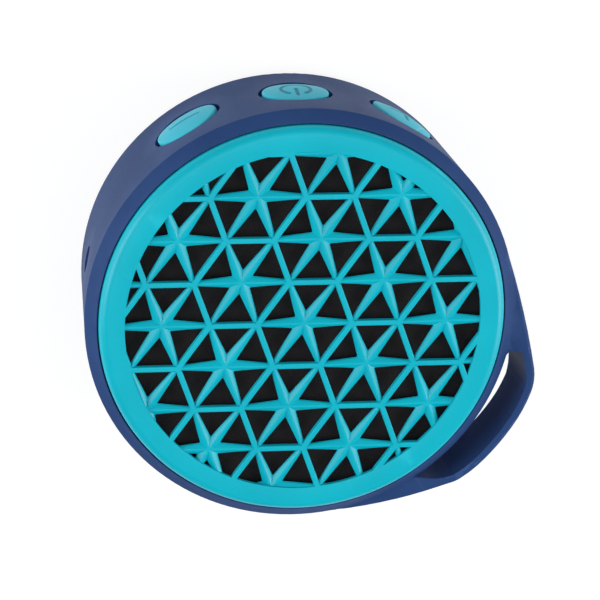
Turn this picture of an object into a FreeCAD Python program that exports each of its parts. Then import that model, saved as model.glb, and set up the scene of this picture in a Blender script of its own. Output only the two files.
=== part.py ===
import FreeCAD, Part
import math
import os
import re
import Sketcher

# Portable puck speaker, lying on its back with the grille facing up.
# Frame: origin at the centre of the rest pad's flat face, +Z out of the grille,
# +Y towards the power button, +X along the level rows of the grille.  Millimetres and degrees.

SIZES = [
    # rubber sleeve with its carry loop
    ("body_radius", 41.5, "radius of the side wall at its front edge"),
    ("wall_draft", 1.7, "how far the side wall tapers in towards the back"),
    ("back_radius", "=body_radius - wall_draft", "radius of the side wall at the back"),
    ("body_depth", 35.0, "rest face to grille face"),
    ("sleeve_wall", 2.25, "rubber wall round the housing"),
    ("sleeve_lip", 2.0, "rubber lip folded under the housing"),
    ("lip_reach", 5.5, "side wall at the back to the lip's opening"),
    ("lip_opening", "=back_radius - lip_reach", "radius of the lip's opening"),
    ("back_round", 2.0, "round on the sleeve's back edge"),
    ("sleeve_chamfer", 2.1, "45 degree chamfer on the sleeve's front edge"),
    ("mouth_drop", 1.7, "grille face down to the sleeve's mouth"),
    ("upper_flank_angle", 20.4, "where the loop's upper flank leaves the wall"),
    ("upper_flank_radius", 172.0, "radius of the upper flank"),
    ("lower_flank_angle", -90.2, "where the loop's lower flank leaves the wall"),
    ("lower_flank_radius", 88.5, "radius of the lower flank"),
    ("strap_reach", 4.0, "how much the loop's outer face exceeds the side wall's radius"),
    ("strap_radius", "=body_radius + strap_reach", "radius of the loop's outer face"),
    ("strap_offset", 3.8, "centre of the strap's arc from the axis"),
    ("strap_angle", 2.2, "direction of that centre"),
    ("strap_thickness", 1.8, "thickness of the strap"),
    ("strap_back", 20.9, "height of the strap's back edge"),
    ("upper_corner", 9.0, "outside corner radius, upper"),
    ("lower_corner", 5.0, "outside corner radius, lower"),
    ("gap_start", -55.7, "angle of the finger gap's lower end"),
    ("gap_end", -11.0, "angle of the finger gap's upper end"),
    ("gap_round", 1.5, "round at the finger gap's upper end"),
    ("gap_tip_round", 0.6, "round at the finger gap's lower end"),
    ("root_spread", 46.0, "half width of the loop's root at the back"),
    ("strap_spread", 9.0, "half width over which the strap keeps its back edge"),
    ("strap_edge", 0.8, "round on the strap's rims"),
    # grille
    ("ring_gap", 0.25, "gap between grille ring and sleeve"),
    ("ring_round", 1.8, "round on the ring's outer edge"),
    ("ring_face", 4.85, "width of the grille ring"),
    ("grille_opening", "=body_radius - sleeve_wall - ring_gap - ring_face", "inner radius of the ring"),
    ("grille_thickness", 2.4, "thickness of the ring and of the stars"),
    ("skirt_wall", 1.8, "wall of the ring's skirt"),
    ("skirt_depth", 4.6, "grille face to the skirt's end"),
    ("skirt_step", 0.2, "skirt set in from the ring"),
    ("tongue_depth", 0.9, "locating tongue under the skirt"),
    ("tongue_wall", 0.75, "wall of the tongue"),
    ("level_pitch", 9.09, "node pitch along the level rows"),
    ("slant_pitch", 10.35, "node pitch along the rising rows"),
    ("slant_angle", 55.2, "angle of the rising rows"),
    ("star_x", -9.38, "place of one star node, across"),
    ("star_y", 24.97, "place of one star node, up"),
    ("bar_width", 1.26, "width of the plain bars"),
    ("bar_depth", 1.1, "thickness of the plain bars"),
    ("crotch_reach", 2.7, "star centre to the notch between two arms"),
    ("ridge_width", 0.4, "flat along the top of an arm"),
    ("arm_tip", 0.6, "width that an arm narrows to at its outer node"),
    ("arm_step", 0.25, "arm's drop below the net at its outer end"),
    ("star_depth", 1.0, "arm's drop at the star's centre"),
    ("flank_slope", 0.62, "fall of an arm's flanks, per millimetre"),
    # cloth and foam behind the grille
    ("cloth_thickness", 0.3, "acoustic cloth"),
    ("cloth_gap", 0.1, "lattice to cloth"),
    ("foam_ring_width", 1.6, "foam ring under the cloth's edge"),
    # housing
    ("fit_gap", 0.05, "clearance of pieces that sit in each other"),
    ("joint_gap", 0.1, "clearance of pieces that meet end on"),
    ("foot_proud", 0.8, "rest pad's height over the housing's back"),
    ("pad_thickness", 1.5, "rest pad"),
    ("pad_margin", 8.8, "side wall at the back to the rest pad"),
    ("pad_radius", "=back_radius - pad_margin", "rest pad"),
    ("pad_round", 0.5, "round on the rest pad's edge"),
    ("housing_wall", 1.8, "side wall of the housing"),
    ("floor_thickness", 1.8, "floor of the housing"),
    ("baffle_depth", 5.5, "grille face to baffle"),
    ("baffle_thickness", 2.5, "baffle"),
    ("baffle_margin", 0.3, "baffle edge to housing wall"),
    ("boss_inset", 11.0, "side wall to the circle of the housing's bosses"),
    ("boss_circle", "=body_radius - boss_inset", "radius on which the housing's bosses stand"),
    ("boss_angle", 35.0, "first boss, from the X axis"),
    ("boss_radius", 3.0, "housing boss"),
    ("screw_radius", 1.0, "shank of every screw"),
    ("head_radius", 1.9, "screw head"),
    ("head_height", 1.1, "screw head"),
    ("screw_length", 8.0, "baffle screws under the head"),
    ("short_screw", 4.5, "driver and board screws under the head"),
    # loudspeaker driver
    ("frame_inset", 5.5, "circle of the bosses to the driver's flange"),
    ("frame_radius", "=boss_circle - frame_inset", "driver flange"),
    ("frame_thickness", 0.8, "driver flange"),
    ("flange_recess", 1.0, "baffle's recess under the flange"),
    ("gasket_thickness", 0.3, "driver gasket"),
    ("cutout_inset", 3.7, "driver's flange to the baffle cut-out"),
    ("cutout_radius", "=frame_radius - cutout_inset", "baffle cut-out"),
    ("flange_width", 4.4, "driver flange, outside to opening"),
    ("frame_opening", "=frame_radius - flange_width", "flange opening"),
    ("driver_inset", 1.7, "driver's flange to the circle of its screws"),
    ("driver_circle", "=frame_radius - driver_inset", "driver screws"),
    ("driver_boss", 1.95, "bosses for the driver screws"),
    ("surround_inset", 5.95, "driver's flange to the middle of the half roll"),
    ("surround_radius", "=frame_radius - surround_inset", "middle of the half roll"),
    ("roll_radius", 1.75, "half roll"),
    ("roll_thickness", 0.35, "rubber of the half roll"),
    ("cone_depth", 6.2, "cone edge to neck"),
    ("cone_thickness", 0.45, "paper of the cone"),
    ("coil_radius", 6.9, "outside of the coil former"),
    ("coil_wall", 0.35, "wall of the coil former"),
    ("winding", 0.15, "winding on the former"),
    ("coil_gap", 0.28, "coil to iron, each side"),
    ("cap_radius", 7.6, "dust cap's rim"),
    ("cap_sphere", 10.0, "dust cap's sphere"),
    ("spider_radius", 14.6, "outside of the spider"),
    ("shelf_drop", 8.7, "flange top to the spider's shelf"),
    ("plate_drop", 10.6, "flange top to the front magnet plate"),
    ("plate_thickness", 1.8, "magnet plates"),
    ("plate_radius", 15.0, "front magnet plate"),
    ("magnet_radius", 16.0, "ring magnet"),
    ("magnet_bore", 8.5, "ring magnet"),
    ("magnet_thickness", 5.5, "ring magnet"),
    ("yoke_radius", 15.5, "back plate of the yoke"),
    ("vent_radius", 1.5, "vent through the pole"),
    ("window_width", 13.0, "openings in the driver's frame"),
    # controls
    ("control_height", 17.5, "axis of the buttons and of the audio socket"),
    ("power_angle", 90.6, "power button, from the X axis"),
    ("button_pitch", 31.0, "volume buttons, from the power button"),
    ("button_radius", 6.4, "button cap"),
    ("button_proud", 0.7, "dome's top over the side wall"),
    ("button_dome", 24.0, "radius of the dome"),
    ("button_edge", 0.5, "round on the cap's edge"),
    ("well_radius", 7.15, "hole in the sleeve"),
    ("button_clearance", 0.25, "cap to the housing's hole"),
    ("button_flange", 0.9, "rim that keeps the button in"),
    ("flange_overlap", 1.1, "rim's reach behind the housing wall"),
    ("stem_radius", 1.5, "button stem"),
    ("button_travel", 0.35, "stroke of a button"),
    ("plunger_radius", 1.1, "switch plunger"),
    ("plunger_length", 1.5, "switch plunger"),
    ("plunger_free", 0.75, "plunger's length outside the switch"),
    ("switch_width", 6.0, "switch body across"),
    ("switch_depth", 3.4, "switch body along the stem"),
    ("switch_inset", 8.5, "side wall to the switch's face"),
    ("switch_reach", "=body_radius - switch_inset", "axis to the switch's face"),
    # main board
    ("board_drop", 3.9, "axis of the controls down to the board's underside"),
    ("board_height", "=control_height - board_drop", "underside of the board"),
    ("board_thickness", 1.2, "board"),
    ("board_bore", 18.5, "inner radius of the crescent board"),
    ("board_margin", 0.6, "board edge to housing wall"),
    ("board_start", 47.0, "first end of the crescent"),
    ("board_sweep", 159.0, "sweep of the crescent"),
    ("post_radius", 2.2, "board posts"),
    ("jack_angle", 169.3, "audio socket, from the X axis"),
    ("jack_width", 6.0, "audio socket body"),
    ("jack_length", 12.7, "audio socket body"),
    ("jack_inset", 5.3, "side wall to the socket body's face"),
    ("jack_reach", "=body_radius - jack_inset", "axis to the socket body's face"),
    ("jack_nose", 2.5, "radius of the socket's nose"),
    ("jack_bore", 1.8, "radius of the plug's bore"),
    ("jack_bore_depth", 11.0, "depth of the plug's bore"),
    ("charge_angle", 190.5, "charging socket, from the X axis"),
    ("charge_width", 7.5, "charging socket shell"),
    ("charge_height", 2.6, "charging socket shell"),
    ("charge_depth", 5.6, "charging socket shell"),
    ("charge_inset", 4.2, "side wall to the charging socket's face"),
    ("charge_reach", "=body_radius - charge_inset", "axis to the charging socket's face"),
    ("shell_sheet", 0.3, "sheet of the charging socket"),
    ("plug_width", 11.0, "sleeve recess for the plug's body"),
    ("plug_height", 5.6, "sleeve recess for the plug's body"),
    # battery
    ("cell_length", 40.0, "battery cell"),
    ("cell_width", 30.0, "battery cell"),
    ("cell_clearance", 1.1, "battery cell to the driver's yoke"),
    ("cell_x", 1.4, "battery cell's middle"),
    ("cell_y", -3.0, "battery cell's middle"),
    ("cell_edge", 0.3, "round on the cell's long edges, as a share of its height"),
    ("foam_thickness", 0.5, "foam under and over the cell"),
    ("foam_share", 0.7, "foam pads, as a share of the cell's length and width"),
]

# Heights and radii that several pieces share, as expressions of the sizes above.
FRONT_EDGE = "(body_depth - mouth_drop - sleeve_chamfer)"
MOUTH = "(body_depth - mouth_drop)"
GRILLE_BACK = "(body_depth - grille_thickness)"
RING_RADIUS = "(body_radius - sleeve_wall - ring_gap)"
SKIRT_RADIUS = f"({RING_RADIUS} - skirt_step)"
SKIRT_END = "(body_depth - skirt_depth)"
HOUSING_TOP = f"({SKIRT_END} - joint_gap)"
HOUSING_BACK = "foot_proud"
FLOOR = "(pad_thickness + floor_thickness)"
LIP_TOP = "(foot_proud + sleeve_lip)"
BAFFLE_TOP = "(body_depth - baffle_depth)"
BAFFLE_BACK = f"({BAFFLE_TOP} - baffle_thickness)"
CLOTH_TOP = f"({GRILLE_BACK} - cloth_gap)"
CLOTH_BACK = f"({CLOTH_TOP} - cloth_thickness)"
FLANGE_SEAT = f"({BAFFLE_TOP} - flange_recess)"
FLANGE_TOP = f"({FLANGE_SEAT} + gasket_thickness + frame_thickness)"
PLATE_TOP = f"({FLANGE_TOP} - plate_drop)"
MAGNET_TOP = f"({PLATE_TOP} - plate_thickness)"
MAGNET_BACK = f"({MAGNET_TOP} - magnet_thickness)"
YOKE_BACK = f"({MAGNET_BACK} - plate_thickness)"
SHELF_TOP = f"({FLANGE_TOP} - shelf_drop)"
BOARD_TOP = "(board_height + board_thickness)"
CELL_BACK = f"({FLOOR} + foam_thickness)"
CELL_TOP = f"({YOKE_BACK} - cell_clearance)"
CELL_HEIGHT = f"({CELL_TOP} - {CELL_BACK})"
WALL_TAPER = f"((body_radius - back_radius) / ({FRONT_EDGE} - foot_proud))"
TAPER_ANGLE = f"atan({WALL_TAPER})"
GAP_MIDDLE = "((gap_start + gap_end) / 2)"


def wall_radius(height, inset="0"):
    """Radius of the tapered side wall at a height, less an inset."""
    return f"(back_radius + ({height} - foot_proud) * {WALL_TAPER} - ({inset}))"


def housing_outside(height):
    return wall_radius(height, "sleeve_wall + fit_gap")


def housing_inside(height):
    return wall_radius(height, "sleeve_wall + fit_gap + housing_wall")


doc = FreeCAD.newDocument("speaker")
sheet = doc.addObject("Spreadsheet::Sheet", "sizes")
for row, (alias, value, note) in enumerate(SIZES, start=1):
    sheet.set(f"A{row}", alias)
    sheet.set(f"B{row}", str(value))
    sheet.set(f"C{row}", note)
    sheet.setAlias(f"B{row}", alias)
doc.recompute()

ALIASES = {alias for alias, value, note in SIZES}
NODES = []


def bound(text):
    """Expression text with each size name pointed at the spreadsheet."""
    return re.sub(r"[a-z_]+", lambda found: f"sizes.{found.group()}" if found.group() in ALIASES
                  else found.group(), str(text))


def value_of(text):
    return float(sheet.evalExpression(bound(text)))


def new_object(kind, name, **sizes):
    """Document object whose properties follow the expressions in sizes."""
    made = doc.addObject(kind, name)
    for name_of_size, text in sizes.items():
        made.setExpression(name_of_size, bound(text))
    return made


def place(made, x="0", y="0", z="0", yaw="0", pitch="0"):
    """Bind a Placement: turned by pitch about Y, then by yaw about Z, then moved."""
    made.setExpression("Placement", bound(f"placement(vector({x}; {y}; {z}); rotation({yaw}; {pitch}; 0))"))
    return made


def place_radial(made, angle, reach, height, pitch="0", across="0"):
    """Bind a Placement whose local X points outwards at an angle round the axis."""
    x = f"({reach}) * cos({angle}) - ({across}) * sin({angle})"
    y = f"({reach}) * sin({angle}) + ({across}) * cos({angle})"
    return place(made, x, y, height, angle, pitch)


def on_button_axis(made, angle, outwards):
    """Put a piece's Z axis on a button's axis, square to the tapered wall, measured from its surface."""
    reach = f"({wall_radius('control_height')} + ({outwards}) * cos({TAPER_ANGLE}))"
    height = f"(control_height - ({outwards}) * sin({TAPER_ANGLE}))"
    return place_radial(made, angle, reach, height, f"90 + {TAPER_ANGLE} / 1 deg")


def cylinder(name, radius, height, z="0", x="0", y="0"):
    return place(new_object("Part::Cylinder", name, Radius=radius, Height=height), x, y, z)


def radial_cylinder(name, radius, length, angle, start, height):
    """Cylinder lying along the radius at an angle, from start outwards."""
    made = new_object("Part::Cylinder", name, Radius=radius, Height=length)
    return place_radial(made, angle, start, height, "90")


def block(name, length, width, height, x="0", y="0", z="0"):
    """Box centred on x and y and standing on z."""
    made = new_object("Part::Box", name, Length=length, Width=width, Height=height)
    return place(made, f"({x}) - ({length}) / 2", f"({y}) - ({width}) / 2", z)


def radial_block(name, length, width, height, angle, start, z):
    """Box with its length along the radius at an angle, from start outwards."""
    made = new_object("Part::Box", name, Length=length, Width=width, Height=height)
    return place_radial(made, angle, start, z, "0", f"-({width}) / 2")


def fuse(name, pieces):
    made = doc.addObject("Part::MultiFuse", name)
    made.Shapes = pieces
    made.Refine = True
    return made


def common(name, pieces):
    made = doc.addObject("Part::MultiCommon", name)
    made.Shapes = pieces
    return made


def group(name, pieces):
    made = doc.addObject("Part::Compound", name)
    made.Links = pieces
    return made


def cut(name, base, tools):
    made = doc.addObject("Part::Cut", name)
    made.Base = base
    made.Tool = tools[0] if len(tools) == 1 else group(f"{name}_tools", tools)
    return made


def node(made, label):
    """Name a finished sub-part and list it for export."""
    made.Label = label
    NODES.append(made)
    return made


def rounded(name, base, radius, wanted):
    """Fillet the edges whose middle point passes the test wanted."""
    doc.recompute()
    chosen = []
    size = value_of(radius)
    for number, edge in enumerate(base.Shape.Edges, start=1):
        middle = edge.valueAt((edge.FirstParameter + edge.LastParameter) / 2)
        if wanted(edge, middle):
            chosen.append((number, size, size))
    made = doc.addObject("Part::Fillet", name)
    made.Base = base
    made.Edges = chosen
    return made


def origin_plane(body, role):
    return next(plane for plane in body.Origin.OriginFeatures if plane.Role == role)


def draw_outline(sketch, points):
    """Closed run of lines whose corners are dimensioned from the origin by expressions."""
    places = [FreeCAD.Vector(value_of(x), value_of(y), 0) for x, y in points]
    count = len(points)
    for index, start in enumerate(places):
        sketch.addGeometry(Part.LineSegment(start, places[(index + 1) % count]))
    for index in range(count):
        sketch.addConstraint(Sketcher.Constraint("Coincident", index, 2, (index + 1) % count, 1))
    for index, (x, y) in enumerate(points):
        for kind, text, value, axis in (("DistanceX", x, places[index].x, -2),
                                        ("DistanceY", y, places[index].y, -1)):
            if text == "0":
                sketch.addConstraint(Sketcher.Constraint("PointOnObject", index, 1, axis))
                continue
            number = sketch.addConstraint(Sketcher.Constraint(kind, -1, 1, index, 1, value))
            sketch.setExpression(f"Constraints[{number}]", bound(text))


def turned(name, points):
    """Body turned about the Z axis from a profile of (radius, height) corners."""
    body = doc.addObject("PartDesign::Body", name)
    sketch = body.newObject("Sketcher::SketchObject", f"{name}_profile")
    sketch.AttachmentSupport = (origin_plane(body, "XZ_Plane"), [""])
    sketch.MapMode = "FlatFace"
    draw_outline(sketch, points)
    turn = body.newObject("PartDesign::Revolution", f"{name}_turn")
    turn.Profile = sketch
    turn.ReferenceAxis = (sketch, ["V_Axis"])
    turn.Angle = 360
    body.Tip = turn
    return body


def tube(name, inner, outer, bottom, top):
    return turned(name, [(inner, bottom), (outer, bottom), (outer, top), (inner, top)])


def four_angles(first):
    """The angles of four places set out symmetrically from the first one."""
    return [first, f"180 - {first}", f"180 + {first}", f"360 - {first}"]


def ring_of(name, make, angles, circle):
    """Copies of a piece at angles round the axis; make takes a name, x and y."""
    return [make(f"{name}_{index}", f"({circle}) * cos({angle})", f"({circle}) * sin({angle})")
            for index, angle in enumerate(angles, start=1)]


BOSS_ANGLES = four_angles("boss_angle")
DRIVER_SCREW_ANGLES = ["45", "135", "225", "315"]
BOARD_POSTS = [("22.5", "75"), ("22.5", "108"), ("24", "183")]  # reach from the axis, angle
CAPACITOR_PLACES = [(22, 122), (27, 122), (27, 106)]            # reach, angle
CONNECTOR_PLACES = [("speaker", 61, 24), ("battery", 199, 24)]  # angle, reach
RADIO_CAN = (8, 11, 1.8, 146, 23)       # length, width, height, angle, reach
AMPLIFIER = (4, 4, 0.9, 91.5, 23)       # length, width, height, angle, reach
CAPACITOR_CAN = ("2", "5.4")            # radius, height
CONNECTOR_BODY = (4.2, 5.8, 4.6)        # length, width, height
CONNECTOR_WELL = (2.8, 4.6, 4.6)        # length, width, height
CONNECTOR_FLOOR = "1"
BUTTONS = [("power", "power_angle"), ("plus", "(power_angle - button_pitch)"),
           ("minus", "(power_angle + button_pitch)")]


def screw(name, x, y, under_head, length):
    shank = cylinder(f"{name}_shank", "screw_radius", length, f"{under_head} - ({length})", x, y)
    head = cylinder(f"{name}_head", "head_radius", "head_height", under_head, x, y)
    return fuse(name, [shank, head])


# ---------------------------------------------------------------- rubber sleeve
def tapered_disc(name, radius, angle="0", offset="0"):
    """Tapered disc as deep as the side wall; radius is that of its front edge."""
    made = new_object("Part::Cone", name, Radius1=f"({radius}) - (body_radius - back_radius)",
                      Radius2=radius, Height=f"{FRONT_EDGE} - foot_proud")
    return place_radial(made, angle, offset, "foot_proud")


def sector(name, first, last):
    """Wedge from one angle to another, wider and deeper than the part."""
    made = new_object("Part::Cylinder", name, Radius="body_radius * 2", Height="body_depth * 2",
                      Angle=f"({last}) - ({first})")
    return place(made, yaw=first, z="-body_depth / 2")


def loop_plan(name, inset):
    """Solid plan of the carry loop: two flanks tangent to the wall, closed by the strap's arc."""
    upper = tapered_disc(f"{name}_upper", f"upper_flank_radius - ({inset})", "upper_flank_angle",
                         "body_radius - upper_flank_radius")
    lower = tapered_disc(f"{name}_lower", f"lower_flank_radius - ({inset})", "lower_flank_angle",
                         "body_radius - lower_flank_radius")
    strap = tapered_disc(f"{name}_strap", f"strap_radius - ({inset})", "strap_angle", "strap_offset")
    return common(f"{name}_plan", [upper, lower, strap])


def corner_between(first, last):
    """Test for a standing edge whose angle round the axis lies between two."""
    def wanted(edge, middle):
        turn = math.degrees(math.atan2(middle.y, middle.x))
        return abs(edge.tangentAt(edge.FirstParameter).z) > 0.9 and value_of(first) < turn < value_of(last)
    return wanted


def end_at(angle):
    """Test for a standing edge at an angle round the axis, however far out."""
    def wanted(edge, middle):
        turn = math.degrees(math.atan2(middle.y, middle.x))
        return abs(edge.tangentAt(edge.FirstParameter).z) > 0.9 and abs(turn - value_of(angle)) < 1
    return wanted


def rounded_corners(name, plan, inset):
    """Loop plan with its two outside corners rounded."""
    first = rounded(f"{name}_a", plan, f"upper_corner - ({inset})", corner_between(GAP_MIDDLE, "upper_flank_angle"))
    return rounded(f"{name}_b", first, f"lower_corner - ({inset})", corner_between("lower_flank_angle", GAP_MIDDLE))


def build_sleeve():
    wall = turned("sleeve_outside", [
        ("0", "foot_proud"),
        ("back_radius", "foot_proud"),
        ("body_radius", FRONT_EDGE),
        ("body_radius - sleeve_chamfer", MOUTH),
        ("0", MOUTH)])
    wall = rounded("sleeve_rounded", wall, "back_round",
                   lambda edge, middle: abs(middle.z - value_of("foot_proud")) < 0.01)
    loop = rounded_corners("loop", loop_plan("loop", "0"), "0")
    loop = rounded("loop_rim", loop, "strap_edge",
                   lambda edge, middle: abs(middle.z - value_of(FRONT_EDGE)) < 0.01)
    loop = common("loop_span", [loop, sector("loop_sector", "lower_flank_angle", "upper_flank_angle")])
    below = cylinder("loop_below", "body_radius * 2", "foot_proud + back_round + 1", "-1")
    loop = cut("loop_blank", loop, [build_undercut("loop_undercut"), below])
    gap = rounded_corners("gap", loop_plan("gap", "strap_thickness"), "strap_thickness")
    gap = common("gap_span", [gap, sector("gap_sector", "gap_start", "gap_end")])
    gap = cut("gap_blank", gap, [tapered_disc("gap_wall", "body_radius")])
    gap = rounded("gap_upper_end", gap, "gap_round", end_at("gap_end"))
    gap = rounded("finger_gap", gap, "gap_tip_round", end_at("gap_start"))
    bore = turned("sleeve_bore", [
        ("0", LIP_TOP),
        (wall_radius(LIP_TOP, "sleeve_wall"), LIP_TOP),
        ("body_radius - sleeve_wall", FRONT_EDGE),
        ("body_radius - sleeve_wall", "body_depth + 1"),
        ("0", "body_depth + 1")])
    opening = cylinder("sleeve_opening", "lip_opening", "body_depth", "-1")
    wells = [on_button_axis(new_object("Part::Cylinder", f"{name}_well", Radius="well_radius",
                                       Height="sleeve_wall * 4"), angle, "-sleeve_wall * 2")
             for name, angle in BUTTONS]
    jack_hole = radial_cylinder("jack_hole", "jack_nose + joint_gap", "sleeve_wall * 4", "jack_angle",
                                "body_radius - sleeve_wall * 2", "control_height")
    charge_hole = radial_block("charge_hole", "sleeve_wall * 4", "plug_width", "plug_height",
                               "charge_angle", "body_radius - sleeve_wall * 2",
                               f"{BOARD_TOP} + charge_height / 2 - plug_height / 2")
    solid = fuse("sleeve_solid", [wall, loop])
    return cut("rubber_sleeve_cut", solid, [gap, bore, opening, jack_hole, charge_hole] + wells)


def build_undercut(name):
    """What is cleared behind the strap: a block that narrows forwards, lying outside the wall."""
    body = doc.addObject("PartDesign::Body", name)
    sketch = body.newObject("Sketcher::SketchObject", f"{name}_side")
    sketch.AttachmentSupport = (origin_plane(body, "XZ_Plane"), [""])
    sketch.MapMode = "FlatFace"
    draw_outline(sketch, [
        ("body_radius * 2 - root_spread", "0"),
        ("body_radius * 2 + root_spread", "0"),
        ("body_radius * 2 + strap_spread", "strap_back"),
        ("body_radius * 2 - strap_spread", "strap_back")])
    pad = body.newObject("PartDesign::Pad", f"{name}_pad")
    pad.Profile = sketch
    pad.setExpression("Length", bound("body_radius * 2"))
    body.Tip = pad
    place(body, f"-2 * body_radius * cos({GAP_MIDDLE} + 90)", f"-2 * body_radius * sin({GAP_MIDDLE} + 90)",
          yaw=f"{GAP_MIDDLE} + 90")
    return cut(f"{name}_outside", body, [tapered_disc(f"{name}_wall", "body_radius")])


node(build_sleeve(), "rubber_sleeve")


# ---------------------------------------------------------------- front grille
def build_ring():
    """Grille ring: flat face, rounded outer edge, skirt and locating tongue."""
    ring = turned("ring_blank", [
        ("grille_opening", "body_depth"),
        (RING_RADIUS, "body_depth"),
        (RING_RADIUS, f"{MOUTH} - joint_gap - ring_round / 2"),
        (SKIRT_RADIUS, f"{MOUTH} - joint_gap - ring_round / 2"),
        (SKIRT_RADIUS, SKIRT_END),
        (f"{housing_inside(SKIRT_END)} - fit_gap", SKIRT_END),
        (f"{housing_inside(SKIRT_END)} - fit_gap", f"{SKIRT_END} - tongue_depth"),
        (f"{housing_inside(SKIRT_END)} - fit_gap - tongue_wall", f"{SKIRT_END} - tongue_depth"),
        (f"{housing_inside(SKIRT_END)} - fit_gap - tongue_wall", SKIRT_END),
        (f"{SKIRT_RADIUS} - skirt_wall", SKIRT_END),
        (f"{SKIRT_RADIUS} - skirt_wall", GRILLE_BACK),
        ("grille_opening", GRILLE_BACK)])
    return rounded("grille_ring", ring, "ring_round", lambda edge, middle: (
        abs(math.hypot(middle.x, middle.y) - value_of(RING_RADIUS)) < 0.01
        and abs(middle.z - value_of("body_depth")) < 0.01))


def star_nodes():
    """Lattice steps to the six nodes round a star, in turn: (along the level row, up the rising row)."""
    return [(1, 0), (0, 1), (-1, 1), (-1, 0), (0, -1), (1, -1)]


def lattice_point(level_steps, rising_steps):
    """Place of a lattice node from a star's centre; the rising rows lean by slant_angle."""
    level = value_of("level_pitch")
    slant = value_of("slant_pitch")
    lean = math.radians(value_of("slant_angle"))
    return FreeCAD.Vector(level_steps * level + rising_steps * slant * math.cos(lean),
                          rising_steps * slant * math.sin(lean), 0)


def star_places():
    """Centres of the stars whose cells reach into the ring's opening: every third node is a star."""
    first = FreeCAD.Vector(value_of("star_x"), value_of("star_y"), 0)
    reach = value_of("grille_opening") + value_of("slant_pitch")
    span = int(2 * reach / value_of("level_pitch")) + 1
    steps = range(-span, span + 1)
    places = [first + lattice_point(along, up) for along in steps for up in steps
              if (along - up) % 3 == 0]
    return [place for place in places if place.Length < reach]


def cell_outline():
    """Inner edge of the six bars round a star: a hexagon set in by half a bar."""
    corners = [lattice_point(*step) for step in star_nodes()]
    half = value_of("bar_width") / 2
    lines = []
    for index, start in enumerate(corners):
        along = (corners[(index + 1) % 6] - start).normalize()
        inwards = FreeCAD.Vector(-along.y, along.x, 0)
        lines.append((start + inwards * half, along))
    outline = []
    for index, (start, along) in enumerate(lines):
        before, way = lines[index - 1]
        across = FreeCAD.Vector(-along.y, along.x, 0)
        outline.append(before + way * ((start - before).dot(across) / way.dot(across)))
    return outline


def star_arm(corner):
    """One arm: flat-topped ridge with falling flanks, lower, wider and deeper towards the star's centre."""
    length = corner.Length
    along = FreeCAD.Vector(corner).normalize()
    across = FreeCAD.Vector(-along.y, along.x, 0)
    ridge = value_of("ridge_width") / 2
    narrow = value_of("arm_tip") / 2
    notch = value_of("crotch_reach")
    wide_at = notch * math.cos(math.pi / 6)
    growth = (notch * math.sin(math.pi / 6) - narrow) / (length - wide_at)
    face = value_of("body_depth")
    sections = []
    for reach, drop, back in ((0.0, value_of("star_depth"), value_of(GRILLE_BACK)),
                              (length, value_of("arm_step"), face - value_of("bar_depth"))):
        half = narrow + growth * (length - reach)
        shoulder = face - drop - (half - ridge) * value_of("flank_slope")
        middle = along * reach
        profile = [(-half, back), (half, back), (half, shoulder), (ridge, face - drop),
                   (-ridge, face - drop), (-half, shoulder)]
        points = [middle + across * side + FreeCAD.Vector(0, 0, height) for side, height in profile]
        sections.append(Part.makePolygon(points + points[:1]))
    return Part.makeLoft(sections, True, True)


def prism(corners, bottom, depth):
    points = [FreeCAD.Vector(corner.x, corner.y, bottom) for corner in corners]
    return Part.Face(Part.makePolygon(points + points[:1])).extrude(FreeCAD.Vector(0, 0, depth))


def build_lattice():
    """Net of straight bars with a sunk six-armed star in each cell, trimmed to the ring."""
    back = value_of(GRILLE_BACK)
    depth = value_of("grille_thickness")
    edge = value_of("grille_opening") + value_of("fit_gap") * 2
    trim = Part.makeCylinder(edge, depth, FreeCAD.Vector(0, 0, back))
    arms = [star_arm(lattice_point(*step)) for step in star_nodes()]
    star = arms[0].multiFuse(arms[1:]).removeSplitter()
    cell = cell_outline()
    places = star_places()
    bars = Part.makeCylinder(edge, value_of("bar_depth"),
                             FreeCAD.Vector(0, 0, value_of("body_depth - bar_depth")))
    net = bars.cut([prism([centre + corner for corner in cell], back - 1, depth + 2) for centre in places])
    stars = [star.translated(centre) for centre in places]
    return net.multiFuse([copy.common(trim) for copy in stars]).removeSplitter()


lattice = doc.addObject("Part::Feature", "star_lattice")
lattice.Shape = build_lattice()
node(fuse("grille_moulding", [build_ring(), lattice]), "front_grille")


# ---------------------------------------------------------------- cloth, foam and baffle
FOAM_RADIUS = f"({housing_inside(SKIRT_END)} - fit_gap * 3 - tongue_wall)"
BAFFLE_RADIUS = f"({housing_inside(BAFFLE_BACK)} - baffle_margin)"


def build_baffle():
    """Round plate with the driver's recessed cut-out, screw holes and bosses for the driver's screws."""
    plate = tube("baffle_plate", "cutout_radius", BAFFLE_RADIUS, BAFFLE_BACK, BAFFLE_TOP)
    boss_depth = "(short_screw + gasket_thickness + frame_thickness - flange_recess + joint_gap)"

    def driver_boss(name, x, y):
        return cylinder(name, "driver_boss", boss_depth, f"{BAFFLE_TOP} - {boss_depth}", x, y)

    def hole(name, x, y):
        return cylinder(name, "screw_radius + fit_gap", "baffle_thickness * 4",
                        f"{BAFFLE_BACK} - baffle_thickness * 2", x, y)

    bosses = ring_of("driver_boss", driver_boss, DRIVER_SCREW_ANGLES, "driver_circle")
    recess = cylinder("flange_recess_tool", "frame_radius + joint_gap", "flange_recess * 2", FLANGE_SEAT)
    holes = ring_of("baffle_hole", hole, BOSS_ANGLES, "boss_circle")
    holes += ring_of("driver_hole", hole, DRIVER_SCREW_ANGLES, "driver_circle")
    cutout = cylinder("cutout", "cutout_radius", "body_depth")
    return cut("baffle_cut", fuse("baffle_solid", [plate] + bosses), [recess, cutout] + holes)


def baffle_screw(name, x, y):
    return screw(name, x, y, f"{BAFFLE_TOP} + joint_gap / 2", "screw_length")


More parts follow.
